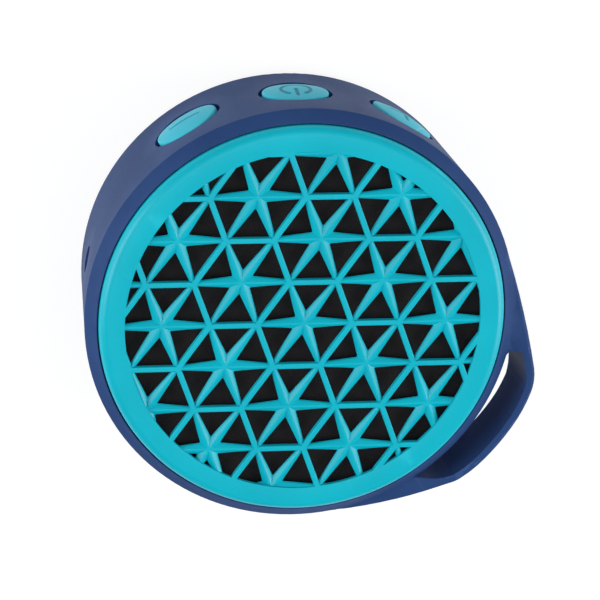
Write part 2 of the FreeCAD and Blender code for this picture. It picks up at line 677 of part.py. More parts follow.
node(cylinder("cloth", f"{SKIRT_RADIUS} - skirt_wall - fit_gap * 2", "cloth_thickness", CLOTH_BACK),
     "acoustic_cloth")
node(tube("foam_ring", f"{FOAM_RADIUS} - foam_ring_width", FOAM_RADIUS, BAFFLE_TOP, CLOTH_BACK),
     "grille_foam_ring")
node(build_baffle(), "front_baffle")
node(group("baffle_screw_set", ring_of("baffle_screw", baffle_screw, BOSS_ANGLES, "boss_circle")),
     "baffle_screws")


# ---------------------------------------------------------------- rear housing and rest pad
def build_housing():
    """Tapered cup with screw bosses, board posts, the battery's fence and the holes for the controls."""
    cup = turned("housing_cup", [
        ("0", "pad_thickness"),
        ("pad_radius + joint_gap", "pad_thickness"),
        ("pad_radius + joint_gap", HOUSING_BACK),
        ("lip_opening - fit_gap", HOUSING_BACK),
        ("lip_opening - fit_gap", f"{LIP_TOP} + fit_gap"),
        (housing_outside(LIP_TOP), f"{LIP_TOP} + fit_gap"),
        (housing_outside(HOUSING_TOP), HOUSING_TOP),
        (housing_inside(HOUSING_TOP), HOUSING_TOP),
        (housing_inside(FLOOR), FLOOR),
        ("0", FLOOR)])
    low = f"{FLOOR} - floor_thickness / 2"

    def boss(name, x, y):
        return cylinder(name, "boss_radius", f"{BAFFLE_BACK} - ({low})", low, x, y)

    def pilot(name, x, y):
        return cylinder(name, "screw_radius", "screw_length", f"{BAFFLE_BACK} - screw_length", x, y)

    bosses = ring_of("boss", boss, BOSS_ANGLES, "boss_circle")
    pilots = ring_of("pilot", pilot, BOSS_ANGLES, "boss_circle")
    for index, (reach, angle) in enumerate(BOARD_POSTS, start=1):
        x, y = f"{reach} * cos({angle})", f"{reach} * sin({angle})"
        bosses.append(cylinder(f"post_{index}", "post_radius", f"board_height - ({low})", low, x, y))
        pilots.append(cylinder(f"post_pilot_{index}", "screw_radius", "short_screw",
                               "board_height - short_screw", x, y))
    fence = cut("fence", block("fence_outside", "cell_length + housing_wall * 2", "cell_width + housing_wall * 2",
                               f"{CELL_BACK} + {CELL_HEIGHT} / 2 - ({low})", "cell_x", "cell_y", low),
                [block("fence_inside", "cell_length + joint_gap * 4", "cell_width + joint_gap * 4",
                       "body_depth", "cell_x", "cell_y")])
    holes = [on_button_axis(new_object("Part::Cylinder", f"{name}_hole",
                                       Radius="button_radius + button_clearance", Height="housing_wall * 8"),
                            angle, "-sleeve_wall - housing_wall * 4") for name, angle in BUTTONS]
    holes.append(radial_cylinder("nose_hole", "jack_nose + joint_gap", "housing_wall * 4", "jack_angle",
                                 "jack_reach", "control_height"))
    holes.append(radial_block("shell_hole", "housing_wall * 4", "charge_width + joint_gap * 2",
                              "charge_height + joint_gap * 2", "charge_angle",
                              "charge_reach - housing_wall * 2", f"{BOARD_TOP} - joint_gap"))
    return cut("housing_cut", fuse("housing_solid", [cup, fence] + bosses), pilots + holes)


node(build_housing(), "rear_housing")
pad = cylinder("pad", "pad_radius", "pad_thickness - fit_gap")
node(rounded("pad_rounded", pad, "pad_round", lambda edge, middle: abs(middle.z) < 0.01), "rest_pad")


# ---------------------------------------------------------------- loudspeaker driver
def build_basket():
    """Pressed frame: flange, sloping wall with four openings, spider shelf and magnet seat."""
    thin = "frame_thickness"
    wall = turned("basket_blank", [
        ("frame_radius", f"{FLANGE_TOP} - {thin}"),
        ("frame_radius", FLANGE_TOP),
        ("frame_opening", FLANGE_TOP),
        ("frame_opening", f"{FLANGE_TOP} - {thin} * 2"),
        (f"spider_radius + {thin} / 2", f"{SHELF_TOP} + {thin} / 2"),
        (f"spider_radius + {thin} / 2", SHELF_TOP),
        ("spider_radius - 2", SHELF_TOP),
        ("spider_radius - 2", f"{PLATE_TOP} + {thin}"),
        ("magnet_bore", f"{PLATE_TOP} + {thin}"),
        ("magnet_bore", PLATE_TOP),
        (f"spider_radius - 2 + {thin}", PLATE_TOP),
        (f"spider_radius - 2 + {thin}", f"{SHELF_TOP} - {thin}"),
        (f"spider_radius + {thin} * 1.5", f"{SHELF_TOP} - {thin}"),
        (f"spider_radius + {thin} * 1.5", f"{SHELF_TOP} + {thin} / 4"),
        (f"frame_opening + {thin} * 0.8", f"{FLANGE_TOP} - {thin} * 2.3"),
        (f"frame_opening + {thin} * 0.8", f"{FLANGE_TOP} - {thin}")])
    windows = [radial_block(f"window_{angle}", "frame_opening", "window_width",
                            f"{FLANGE_TOP} - {SHELF_TOP} - {thin} * 4", str(angle), "spider_radius / 2",
                            f"{SHELF_TOP} + {thin}") for angle in (0, 90, 180, 270)]

    def hole(name, x, y):
        return cylinder(name, "screw_radius + fit_gap", f"{thin} * 3", f"{FLANGE_TOP} - {thin} * 2", x, y)

    holes = ring_of("flange_hole", hole, DRIVER_SCREW_ANGLES, "driver_circle")
    return cut("basket_cut", wall, windows + holes)


def build_gasket():
    """Thin foam ring between the driver's flange and the baffle's recess."""
    ring = tube("gasket_ring", "cutout_radius", "frame_radius", FLANGE_SEAT,
                f"{FLANGE_SEAT} + gasket_thickness")

    def hole(name, x, y):
        return cylinder(name, "screw_radius + fit_gap", "gasket_thickness * 4",
                        f"{FLANGE_SEAT} - gasket_thickness", x, y)

    return cut("gasket_cut", ring, ring_of("gasket_hole", hole, DRIVER_SCREW_ANGLES, "driver_circle"))


def build_surround():
    """Rubber half roll with a flat rim on the flange and a flat lip on the cone."""
    outside = place(new_object("Part::Torus", "roll_outside", Radius1="surround_radius",
                               Radius2="roll_radius"), z=FLANGE_TOP)
    inside = place(new_object("Part::Torus", "roll_inside", Radius1="surround_radius",
                              Radius2="roll_radius - roll_thickness"), z=FLANGE_TOP)
    above = cylinder("roll_above", "frame_radius", "roll_radius * 2", FLANGE_TOP)
    roll = common("half_roll", [cut("roll", outside, [inside]), above])
    rim = tube("surround_rim", "surround_radius + roll_radius - roll_thickness",
               "surround_radius + roll_radius + 0.6", FLANGE_TOP, f"{FLANGE_TOP} + roll_thickness")
    lip = tube("surround_lip", "surround_radius - roll_radius - 0.8",
               "surround_radius - roll_radius + roll_thickness", FLANGE_TOP,
               f"{FLANGE_TOP} + roll_thickness")
    return fuse("surround", [roll, rim, lip])


CONE_EDGE = "(surround_radius - roll_radius)"
CONE_FACE = f"({FLANGE_TOP} - fit_gap)"
NECK = f"({CONE_FACE} - cone_depth)"


def build_cone():
    """Paper cone with a flat edge under the surround's lip and a neck on the coil former."""
    return turned("cone", [
        (CONE_EDGE, f"{CONE_FACE} - cone_thickness"),
        (CONE_EDGE, CONE_FACE),
        (f"{CONE_EDGE} - 0.9", CONE_FACE),
        ("coil_radius + fit_gap", f"{NECK} + cone_thickness"),
        ("coil_radius + fit_gap", f"{NECK} - cone_thickness / 2"),
        (f"{CONE_EDGE} - 0.7", f"{CONE_FACE} - cone_thickness")])


def build_dust_cap():
    """Thin spherical cap resting on the cone."""
    rim = f"({NECK} + cone_thickness * 2.2)"
    middle = f"{rim} - sqrt(cap_sphere ^ 2 - cap_radius ^ 2)"
    outside = place(new_object("Part::Sphere", "cap_outside", Radius="cap_sphere"), z=middle)
    inside = place(new_object("Part::Sphere", "cap_inside", Radius="cap_sphere - roll_thickness"), z=middle)
    above = cylinder("cap_above", "cap_sphere", "cap_sphere", rim)
    return common("cap", [cut("cap_shell", outside, [inside]), above])


def build_coil():
    """Former with its winding in the magnet's gap."""
    bottom = f"({MAGNET_TOP} - plate_thickness)"
    return turned("coil", [
        ("coil_radius - coil_wall", bottom),
        ("coil_radius + winding", bottom),
        ("coil_radius + winding", f"{PLATE_TOP} + plate_thickness / 3"),
        ("coil_radius", f"{PLATE_TOP} + plate_thickness / 3"),
        ("coil_radius", NECK),
        ("coil_radius - coil_wall", NECK)])


def build_spider():
    """Corrugated disc that centres the coil, from the former out to the frame's shelf."""
    rings = 6
    inner = "(coil_radius + fit_gap)"
    step = f"((spider_radius - 1.6 - {inner}) / {rings})"
    lower = []
    upper = []
    for ring in range(rings + 1):
        height = f"{SHELF_TOP} + roll_thickness * {1.2 if ring % 2 else 0.1}"
        lower.append((f"{inner} + {step} * {ring}", height))
        upper.append((f"{inner} + {step} * {ring}", f"{height} + roll_thickness"))
    rim = [("spider_radius", f"{SHELF_TOP} + roll_thickness * 0.1"),
           ("spider_radius", f"{SHELF_TOP} + roll_thickness * 1.1")]
    return turned("spider_disc", lower + rim + upper[::-1])


def driver_screw(name, x, y):
    return screw(name, x, y, f"{FLANGE_TOP} + fit_gap", "short_screw")


node(build_basket(), "driver_basket")
node(build_gasket(), "driver_gasket")
node(group("driver_screw_set", ring_of("driver_screw", driver_screw, DRIVER_SCREW_ANGLES, "driver_circle")),
     "driver_screws")
node(build_surround(), "cone_surround")
node(build_cone(), "speaker_cone")
node(build_dust_cap(), "dust_cap")
node(build_coil(), "voice_coil")
node(build_spider(), "spider")
node(tube("front_plate", "coil_radius + winding + coil_gap", "plate_radius", MAGNET_TOP, PLATE_TOP),
     "driver_top_plate")
node(tube("magnet", "magnet_bore", "magnet_radius", MAGNET_BACK, MAGNET_TOP), "driver_magnet")
POLE_RADIUS = "(coil_radius - coil_wall - coil_gap)"
node(turned("yoke", [
    ("vent_radius", YOKE_BACK),
    ("yoke_radius", YOKE_BACK),
    ("yoke_radius", MAGNET_BACK),
    (POLE_RADIUS, MAGNET_BACK),
    (POLE_RADIUS, PLATE_TOP),
    ("vent_radius", PLATE_TOP)]), "driver_yoke")
terminal_plate = radial_block("terminal_plate", "4", "9", "frame_thickness", "45",
                              "spider_radius + frame_thickness * 1.5 + fit_gap",
                              f"{SHELF_TOP} - frame_thickness")
solder_tag = radial_block("solder_tag", "2.5", "1.6", "2.4", "45", "spider_radius + frame_thickness * 4",
                          f"{SHELF_TOP} - fit_gap")
node(fuse("terminals", [terminal_plate, solder_tag]), "driver_terminals")


# ---------------------------------------------------------------- buttons and their switches
FLANGE_BEHIND = "(sleeve_wall + fit_gap + housing_wall)"
FLANGE_RADIUS = "(button_radius + flange_overlap)"
WALL_BOW = f"({FLANGE_RADIUS} ^ 2 / (2 * (back_radius - sleeve_wall - housing_wall)))"
FLANGE_FACE = f"({FLANGE_BEHIND} + {WALL_BOW} + fit_gap)"
STEM_END = f"({wall_radius('control_height')} - switch_reach - plunger_free)"


def build_button(name, angle):
    """Domed cap sliding in the housing wall, kept in by a rim, with a stem onto its switch."""
    cap = new_object("Part::Cylinder", f"{name}_cap", Radius="button_radius",
                     Height=f"{FLANGE_FACE} + button_proud")
    on_button_axis(cap, angle, f"-{FLANGE_FACE}")
    dome = new_object("Part::Sphere", f"{name}_dome", Radius="button_dome")
    on_button_axis(dome, angle, "button_proud - button_dome")
    top = common(f"{name}_top", [cap, dome])
    top = rounded(f"{name}_top_rounded", top, "button_edge", lambda edge, middle: (
        edge.Closed and math.hypot(middle.x, middle.y) > value_of("body_radius - sleeve_wall")))
    rim = new_object("Part::Cylinder", f"{name}_rim", Radius=FLANGE_RADIUS, Height="button_flange")
    on_button_axis(rim, angle, f"-{FLANGE_FACE} - button_flange")
    stem = new_object("Part::Cylinder", f"{name}_stem", Radius="stem_radius",
                      Height=f"{STEM_END} - {FLANGE_FACE}")
    on_button_axis(stem, angle, f"-{STEM_END}")
    return fuse(f"{name}_body", [top, rim, stem])


def build_plunger(name, angle):
    made = new_object("Part::Cylinder", f"{name}_plunger_pin", Radius="plunger_radius",
                      Height="plunger_length")
    return on_button_axis(made, angle, f"-{STEM_END} - fit_gap - plunger_length")


def build_switch(name, angle):
    """Side-press switch on the board, with the well that its plunger slides in."""
    body = radial_block(f"{name}_switch_body", "switch_depth", "switch_width",
                        f"(control_height - {BOARD_TOP}) * 2", angle, "switch_reach - switch_depth",
                        f"{BOARD_TOP}")
    well = new_object("Part::Cylinder", f"{name}_switch_well", Radius="plunger_radius + joint_gap",
                      Height="plunger_length + button_travel + fit_gap * 3")
    on_button_axis(well, angle, f"-{STEM_END} - plunger_length - button_travel - fit_gap * 3")
    return cut(f"{name}_switch", body, [well])


for name, angle in BUTTONS:
    node(build_button(name, angle), f"{name}_button")
for name, angle in BUTTONS:
    node(build_plunger(name, angle), f"{name}_switch_plunger")
node(group("switches", [build_switch(name, angle) for name, angle in BUTTONS]), "tact_switches")


# ---------------------------------------------------------------- main board and what it carries
def build_board():
    """Crescent board round the driver's magnet, with holes for its screws and one housing boss."""
    margin = f"({housing_inside('board_height')} - board_margin)"
    slab = new_object("Part::Cylinder", "board_slab", Radius=margin, Height="board_thickness",
                      Angle="board_sweep")
    place(slab, z="board_height", yaw="board_start")
    holes = [cylinder("board_bore_tool", "board_bore", "body_depth")]
    holes.append(cylinder("boss_clearance", "boss_radius + joint_gap * 3", "body_depth", "0",
                          "boss_circle * cos(180 - boss_angle)", "boss_circle * sin(180 - boss_angle)"))
    for index, (reach, angle) in enumerate(BOARD_POSTS, start=1):
        holes.append(cylinder(f"board_hole_{index}", "screw_radius + fit_gap", "body_depth", "0",
                              f"{reach} * cos({angle})", f"{reach} * sin({angle})"))
    for name, angle in BUTTONS:
        relief = new_object("Part::Cylinder", f"{name}_relief", Radius=f"{FLANGE_RADIUS} + board_margin",
                            Height="body_radius")
        holes.append(on_button_axis(relief, angle,
                                    f"-{FLANGE_FACE} - button_flange - button_travel - joint_gap * 4"))
    return cut("board_cut", slab, holes)


def board_screw(name, x, y):
    return screw(name, x, y, f"{BOARD_TOP} + fit_gap", "short_screw")


def build_jack():
    """Audio socket: moulded body with a round nose in the housing wall and a plug bore."""
    height = f"(control_height - {BOARD_TOP}) * 2"
    body = radial_block("jack_body", "jack_length", "jack_width", height, "jack_angle",
                        "jack_reach - jack_length", BOARD_TOP)
    nose = radial_cylinder("jack_nose_tube", "jack_nose", f"{housing_outside('control_height')} - jack_reach + 1",
                           "jack_angle", "jack_reach - 1", "control_height")
    bore = radial_cylinder("jack_plug_bore", "jack_bore", "jack_bore_depth * 2", "jack_angle",
                           f"{housing_outside('control_height')} - jack_bore_depth", "control_height")
    return cut("jack_cut", fuse("jack_solid", [body, nose]), [bore])


def build_charge_socket():
    """Folded sheet shell with the plastic tongue inside."""
    shell = radial_block("shell", "charge_depth", "charge_width", "charge_height", "charge_angle",
                         "charge_reach - charge_depth", BOARD_TOP)
    mouth = radial_block("shell_mouth", "charge_depth", "charge_width - shell_sheet * 2",
                         "charge_height - shell_sheet * 2", "charge_angle",
                         "charge_reach - charge_depth + shell_sheet * 2", f"{BOARD_TOP} + shell_sheet")
    tongue = radial_block("shell_tongue", "charge_depth * 0.7", "charge_width / 2", "shell_sheet * 2",
                          "charge_angle", "charge_reach - charge_depth + shell_sheet",
                          f"{BOARD_TOP} + charge_height / 2")
    return fuse("charge_solid", [cut("shell_cut", shell, [mouth]), tongue])


def on_board(name, length, width, height, angle, reach, up="0"):
    """Box on the board, centred on a place given by angle and reach, squared to the radius."""
    return radial_block(name, str(length), str(width), str(height), str(angle),
                        f"{reach} - {length} / 2", f"{BOARD_TOP} + {up}")


def capacitor(name, x, y):
    return cylinder(name, *CAPACITOR_CAN, BOARD_TOP, x, y)


def lead_connector(name, angle, reach):
    """Two-pin lead connector, open at the top."""
    body = on_board(f"{name}_body", *CONNECTOR_BODY, angle, reach)
    socket = on_board(f"{name}_socket", *CONNECTOR_WELL, angle, reach, CONNECTOR_FLOOR)
    return cut(name, body, [socket])


node(build_board(), "main_board")
node(group("board_screw_set", [board_screw(f"board_screw_{index}", f"{reach} * cos({angle})",
                                           f"{reach} * sin({angle})")
                               for index, (reach, angle) in enumerate(BOARD_POSTS, start=1)]), "board_screws")
node(build_jack(), "aux_jack")
node(build_charge_socket(), "micro_usb_socket")
node(on_board("radio_can", *RADIO_CAN), "bluetooth_module")
node(on_board("amplifier", *AMPLIFIER), "amplifier_chip")
node(group("capacitors", [capacitor(f"capacitor_{index}", f"{reach} * cos({angle})", f"{reach} * sin({angle})")
                          for index, (reach, angle) in enumerate(CAPACITOR_PLACES, start=1)]),
     "capacitors")
node(group("connectors", [lead_connector(f"{name}_connector", angle, reach)
                          for name, angle, reach in CONNECTOR_PLACES]), "lead_connectors")


# ---------------------------------------------------------------- battery
def cell_pad(name, z):
    return block(name, "cell_length * foam_share", "cell_width * foam_share", "foam_thickness - fit_gap",
                 "cell_x", "cell_y", z)


cell = block("cell", "cell_length", "cell_width", CELL_HEIGHT, "cell_x", "cell_y", CELL_BACK)
node(rounded("cell_rounded", cell, f"{CELL_HEIGHT} * cell_edge", lambda edge, middle: (
    abs(edge.tangentAt(edge.FirstParameter).x) > 0.9)), "battery_cell")
node(group("cell_pads", [cell_pad("cell_pad_under", FLOOR), cell_pad("cell_pad_over", f"{CELL_TOP} + fit_gap")]),
     "battery_foam")

doc.recompute()
for made in doc.Objects:
    if "Invalid" in made.State or "Error" in made.State:
        raise RuntimeError(f"{made.Label} did not rebuild: {made.getStatusString()}")
os.makedirs("parts", exist_ok=True)
for made in NODES:
    if made.Shape.isNull() or not made.Shape.isValid() or not made.Shape.Solids:
        raise RuntimeError(f"{made.Label} has no valid solid")
for made in NODES:
    made.Shape.exportStep(f"parts/{made.Label}.step")
print(len(NODES), "sub-parts written")
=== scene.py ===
# %% [markdown]
# # A small round wireless speaker, dressed for a picture
#
# The speaker lies on its back with the grille facing up.  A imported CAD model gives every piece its
# place.  This lesson keeps the hard CAD pieces, gives each one a finish, and remakes the ones that
# need finer or softer shapes than the solids have: the sleeve's carry loop, the star grille, the
# buttons, the cloth, the foams and the driver's surround.

# %% Load the frame
import math

import bmesh
import bpy
import numpy as np
from mathutils import Matrix, Vector


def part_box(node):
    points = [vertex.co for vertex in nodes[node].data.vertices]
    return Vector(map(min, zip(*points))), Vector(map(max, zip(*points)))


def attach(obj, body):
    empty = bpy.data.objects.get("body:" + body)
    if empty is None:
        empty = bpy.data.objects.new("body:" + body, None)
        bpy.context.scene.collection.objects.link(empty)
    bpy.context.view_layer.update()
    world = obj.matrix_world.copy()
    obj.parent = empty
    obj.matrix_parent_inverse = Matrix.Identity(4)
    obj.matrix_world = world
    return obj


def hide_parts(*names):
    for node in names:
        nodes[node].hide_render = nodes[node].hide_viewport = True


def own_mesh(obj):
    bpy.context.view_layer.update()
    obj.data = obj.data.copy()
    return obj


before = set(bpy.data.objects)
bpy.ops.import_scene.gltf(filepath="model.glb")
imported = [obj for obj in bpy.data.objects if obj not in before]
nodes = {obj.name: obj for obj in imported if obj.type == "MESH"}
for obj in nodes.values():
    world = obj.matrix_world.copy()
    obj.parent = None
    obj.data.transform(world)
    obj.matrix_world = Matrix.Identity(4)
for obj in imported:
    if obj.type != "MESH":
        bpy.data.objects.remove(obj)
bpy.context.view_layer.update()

MM = 0.001


# %% [markdown]
# ## Camera
#
# A product picture of a small object is taken with a long lens from some distance, so that round
# things stay round.  The camera stands over the speaker, a little behind the buttons, and its three
# axes are written down as they are instead of being aimed with a constraint, because a fixed matrix
# gives the same view each time.

# %% Camera
camera_place = Vector((-83.63, 205.95, 565.68)) * MM
camera_back = Vector((-0.14417, 0.35075, 0.92531)).normalized()
camera_right = Vector((0.02169, 0.93597, -0.35141)).cross(camera_back).normalized()
camera_up = camera_back.cross(camera_right)

camera = bpy.data.objects.new("camera", bpy.data.cameras.new("camera"))
bpy.context.scene.collection.objects.link(camera)
camera.data.sensor_width = 36.0
camera.data.lens = 181.77
camera.data.clip_start, camera.data.clip_end = 0.01, 20.0
camera.matrix_world = Matrix((
    (camera_right.x, camera_up.x, camera_back.x, camera_place.x),
    (camera_right.y, camera_up.y, camera_back.y, camera_place.y),
    (camera_right.z, camera_up.z, camera_back.z, camera_place.z),
    (0, 0, 0, 1)))
bpy.context.scene.camera = camera
print("camera stands", round(camera_place.length / MM), "mm from the rest pad")

# %% [markdown]
# ## Helpers for meshes
#
# Each new piece is a surface: numpy works out all of its points at once, and the mesh takes them in
# one go.  A grid of rows and columns covers nearly every shape here, open at its edges or closed
# round, so one function makes the faces of such a grid.  Where a solid's own mesh is the start, its
# doubled points are merged first.  A piece that is ready takes the place of its CAD node.

# %% Mesh helpers
SHARP_DEG = 32.0
DOUBLES_MM = 0.002


def grid_faces(rows, columns, round_columns=True, start=0):
    """Quads of a grid whose vertex number is start + row * columns + column.

    Corners go (row, column), (row, column + 1), (row + 1, column + 1), (row + 1, column).
    """
    steps = columns if round_columns else columns - 1
    row, column = np.meshgrid(np.arange(rows - 1), np.arange(steps), indexing="ij")
    beside = (column + 1) % columns
    return start + np.stack([
        row * columns + column, row * columns + beside,
        (row + 1) * columns + beside, (row + 1) * columns + column], axis=-1).reshape(-1, 4)


def shade(mesh, sharp_deg=SHARP_DEG):
    """Smooth shading, except across edges that turn by more than sharp_deg."""
    mesh.polygons.foreach_set("use_smooth", np.ones(len(mesh.polygons), bool))
    mesh.set_sharp_from_angle(angle=math.radians(sharp_deg))


def finished(name, shape, sharp_deg=SHARP_DEG):
    """Mesh object made from a bmesh, which is freed, and put into the scene."""
    mesh = bpy.data.meshes.new(name)
    shape.to_mesh(mesh)
    shape.free()
    shade(mesh, sharp_deg)
    made = bpy.data.objects.new(name, mesh)
    bpy.context.scene.collection.objects.link(made)
    return made


def make_piece(name, points_mm, faces, merge_mm=1e-4):
    """Object from points in millimetres and a list of face arrays; points within merge_mm are joined."""
    raw = bpy.data.meshes.new("raw")
    raw.from_pydata((np.asarray(points_mm, float) * MM).tolist(), [], np.concatenate(faces).tolist())
    shape = bmesh.new()
    shape.from_mesh(raw)
    bpy.data.meshes.remove(raw)
    bmesh.ops.remove_doubles(shape, verts=shape.verts, dist=merge_mm * MM)
    bmesh.ops.dissolve_degenerate(shape, edges=shape.edges, dist=merge_mm * MM)
    return finished(name, shape)


def merged_copy(source):
    """Bmesh of a CAD node's mesh with its doubled points merged; the node itself stays as it is."""
    shape = bmesh.new()
    shape.from_mesh(source.data)
    bmesh.ops.remove_doubles(shape, verts=shape.verts, dist=DOUBLES_MM * MM)
    return shape


def stand_in(piece, finish, body, node):
    """Gives a piece its finish and lets it ride on a body in the place of a CAD node."""
    piece.data.materials.clear()
    piece.data.materials.append(finish)
    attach(piece, body)
    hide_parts(node)


def revolved(name, section_mm, turns=256):
    """Ring turned from a closed section: (r, z) goes to (r cos t, r sin t, z) for each angle t."""
    section = np.asarray(section_mm, float)
    angle = np.arange(turns) * 2 * math.pi / turns
    closed = np.vstack([section, section[:1]])
    points = np.stack([
        closed[:, None, 0] * np.cos(angle), closed[:, None, 0] * np.sin(angle),
        np.repeat(closed[:, 1:2], turns, axis=1)], axis=-1)
    return make_piece(name, points.reshape(-1, 3), [grid_faces(len(closed), turns)])


def arc(centre, radius, start_deg, end_deg, steps):
    """Points of an arc in the section plane: centre + radius (cos a, sin a) from start to end."""
    angle = np.radians(np.linspace(start_deg, end_deg, steps + 1))
    return np.stack([centre[0] + radius * np.cos(angle), centre[1] + radius * np.sin(angle)], axis=-1)


def polar(points_mm):
    """Distance from the speaker's axis and angle round it in degrees, for rows of points."""
    x, y = points_mm[:, 0], points_mm[:, 1]
    return np.hypot(x, y), np.degrees(np.arctan2(y, x))


print("mesh helpers ready")

# %% [markdown]
# ## Helpers for finishes
#
# A finish is a small tree of shader nodes.  Colours are written as the hex values that a colour
# picker shows, and one function turns them into the linear values that light is reckoned in.  One
# more function adds a node together with its settings and links, so a tree reads from top to bottom.

# %% Finish helpers
def linear(hex_colour):
    """Linear colour of a hex value: v / 12.92 below 0.04045, else ((v + 0.055) / 1.055) ** 2.4."""
    value = np.array([int(hex_colour[i:i + 2], 16) for i in (1, 3, 5)]) / 255
    light = np.where(value <= 0.04045, value / 12.92, ((value + 0.055) / 1.055) ** 2.4)
    return (*light.tolist(), 1.0)


def add(tree, kind, settings=None, links=None):
    """Adds one node: settings name its properties or inputs, links join its inputs to other outputs."""
    made = tree.nodes.new(kind)
    for key, value in (settings or {}).items():
        if hasattr(made, str(key)):
            setattr(made, key, value)
        else:
            made.inputs[key].default_value = value
    for key, source in (links or {}).items():
        tree.links.new(source, made.inputs[key])
    return made


def new_finish(name):
    """Empty material, its node tree, Object coordinates and the Principled shader, joined up."""
    material = bpy.data.materials.new(name)
    material.use_nodes = True
    tree = material.node_tree
    tree.nodes.clear()
    place = add(tree, "ShaderNodeTexCoord").outputs["Object"]
    shader = add(tree, "ShaderNodeBsdfPrincipled")
    add(tree, "ShaderNodeOutputMaterial", links={"Surface": shader.outputs["BSDF"]})
    return material, tree, place, shader


def per_mm(size_mm):
    """Noise scale whose lumps are about size_mm across, for coordinates in metres."""
    return 1 / (size_mm * MM)


def noise(tree, place, size_mm, detail=2.0):
    """Value from 0 to 1 that wanders over size_mm."""
    return add(tree, "ShaderNodeTexNoise", {"Scale": per_mm(size_mm), "Detail": detail},
               {"Vector": place}).outputs["Fac"]


def calculate(tree, operation, *values):
    """Output of one maths node; each value is a number or another node's output."""
    made = add(tree, "ShaderNodeMath", {"operation": operation})
    for socket, value in enumerate(values):
        if isinstance(value, (int, float)):
            made.inputs[socket].default_value = value
        else:
            tree.links.new(value, made.inputs[socket])
    return made.outputs[0]


def blend_colours(tree, share, first, second):
    """Colour between two others, given as hex values or as outputs, by a share from 0 to 1."""
    made = add(tree, "ShaderNodeMix", {"data_type": "RGBA"}, {0: share})
    for socket, colour in ((6, first), (7, second)):
        if isinstance(colour, str):
            made.inputs[socket].default_value = linear(colour)
        else:
            tree.links.new(colour, made.inputs[socket])
    return made.outputs[2]


def between(tree, value, low, high, to_low=0.0, to_high=1.0):
    """Value carried from the range low..high to the range to_low..to_high, and held inside it."""
    return add(tree, "ShaderNodeMapRange", {
        "From Min": low, "From Max": high, "To Min": to_low, "To Max": to_high},
        {"Value": value}).outputs["Result"]


def edge_rub(tree):
    """Share of rubbing on outer edges: 0 on the flat, 1 on a sharp convex edge."""
    pointed = add(tree, "ShaderNodeNewGeometry").outputs["Pointiness"]
    return between(tree, pointed, 0.52, 0.62)


def relief(tree, shader, height, depth_mm):
    """Joins a height from 0 to 1 to the shader as a bump of depth_mm."""
    bump = add(tree, "ShaderNodeBump", {"Distance": depth_mm * MM, "Strength": 1.0}, {"Height": height})
    tree.links.new(bump.outputs["Normal"], shader.inputs["Normal"])


print("finish helpers ready")

# %% [markdown]
# ## Moulded plastics and rubbers
#
# Most pieces here came out of a steel mould whose surface was spark-eroded, so they carry a fine
# even grain that makes their gloss satin.  Handling polishes the grain away on the edges, and the
# melt leaves the colour very slightly uneven.  The same tree does for ABS, silicone rubber, nylon
# and foam skin: what changes is the colour, the grain's size and depth, and the roughness.

# %% Moulded finishes
CLOUD_MM = 12.0
GLOSS_SWING = 0.05
RUBBED_COLOUR, RUBBED_GLOSS = 0.5, 0.08


def moulded(name, colour, deep, rubbed, roughness, grain_mm, grain_depth_mm, specular=0.5, sheen=0.0):
    """Moulded surface: cloudy colour, eroded grain as bump and in the gloss, rubbed edges."""
    material, tree, place, shader = new_finish(name)
    cloud = noise(tree, place, CLOUD_MM, 3.0)
    grain = noise(tree, place, grain_mm, 3.0)
    rub = edge_rub(tree)
    base = blend_colours(tree, between(tree, cloud, 0.35, 0.65), deep, colour)
    base = blend_colours(tree, calculate(tree, "MULTIPLY", rub, RUBBED_COLOUR), base, rubbed)
    gloss = between(tree, grain, 0.3, 0.7, roughness - GLOSS_SWING, roughness + GLOSS_SWING)
    gloss = calculate(tree, "SUBTRACT", gloss, calculate(tree, "MULTIPLY", rub, RUBBED_GLOSS))
    tree.links.new(base, shader.inputs["Base Color"])
    tree.links.new(gloss, shader.inputs["Roughness"])
    shader.inputs["Specular IOR Level"].default_value = specular
    if sheen:
        shader.inputs["Sheen Weight"].default_value = sheen
        shader.inputs["Sheen Roughness"].default_value = 0.4
    relief(tree, shader, grain, grain_depth_mm)
    return material


# Silicone rubber, dyed navy and moulded in an eroded tool: a soft satin with a faint haze.
navy_silicone = moulded("moulded_navy_silicone", "#2D4A7C", "#284475", "#46619A",
                        0.56, 0.30, 0.008, 0.10)
# ABS, dyed cyan: satin, a little glossier than the rubber.
cyan_abs = moulded("moulded_cyan_abs", "#00C0D3", "#00BACD", "#28CFE2", 0.32, 0.25, 0.004, 0.30)
# ABS with a matt skin for the housing and the baffle.
black_abs = moulded("moulded_black_abs", "#1B1C1E", "#161719", "#3A3B3E", 0.50, 0.35, 0.010)
# Nitrile rubber for the rest pad: matt, slightly dusty.
pad_rubber = moulded("moulded_black_nitrile", "#1A1A1B", "#151516", "#333335", 0.62, 0.30, 0.020)
# Butyl rubber of the cone's roll: thin and smooth, with a soft shine.
roll_rubber = moulded("moulded_butyl_roll", "#151516", "#111112", "#2A2A2C", 0.42, 0.40, 0.004)
# Nylon of connector shells: milky white.
white_nylon = moulded("moulded_white_nylon", "#E4E0D6", "#DAD5C8", "#F0EDE6", 0.45, 0.30, 0.004)
# Sintered ferrite magnet: dark grey, stony, with tiny chips.
ferrite = moulded("sintered_ferrite", "#3A3A3C", "#2F2F31", "#5A5A5C", 0.55, 0.50, 0.020)
print("moulded finishes:", 7)

# %% [markdown]
# ## Metals
#
# Sheet steel, screws and can lids are metal all through, so their colour sits in the reflection.
# Rolling or turning leaves fine lines, which are noise stretched along one direction.  Metals keep
# the shader's own IOR.

# %% Metal finishes
LINE_STRETCH = 12


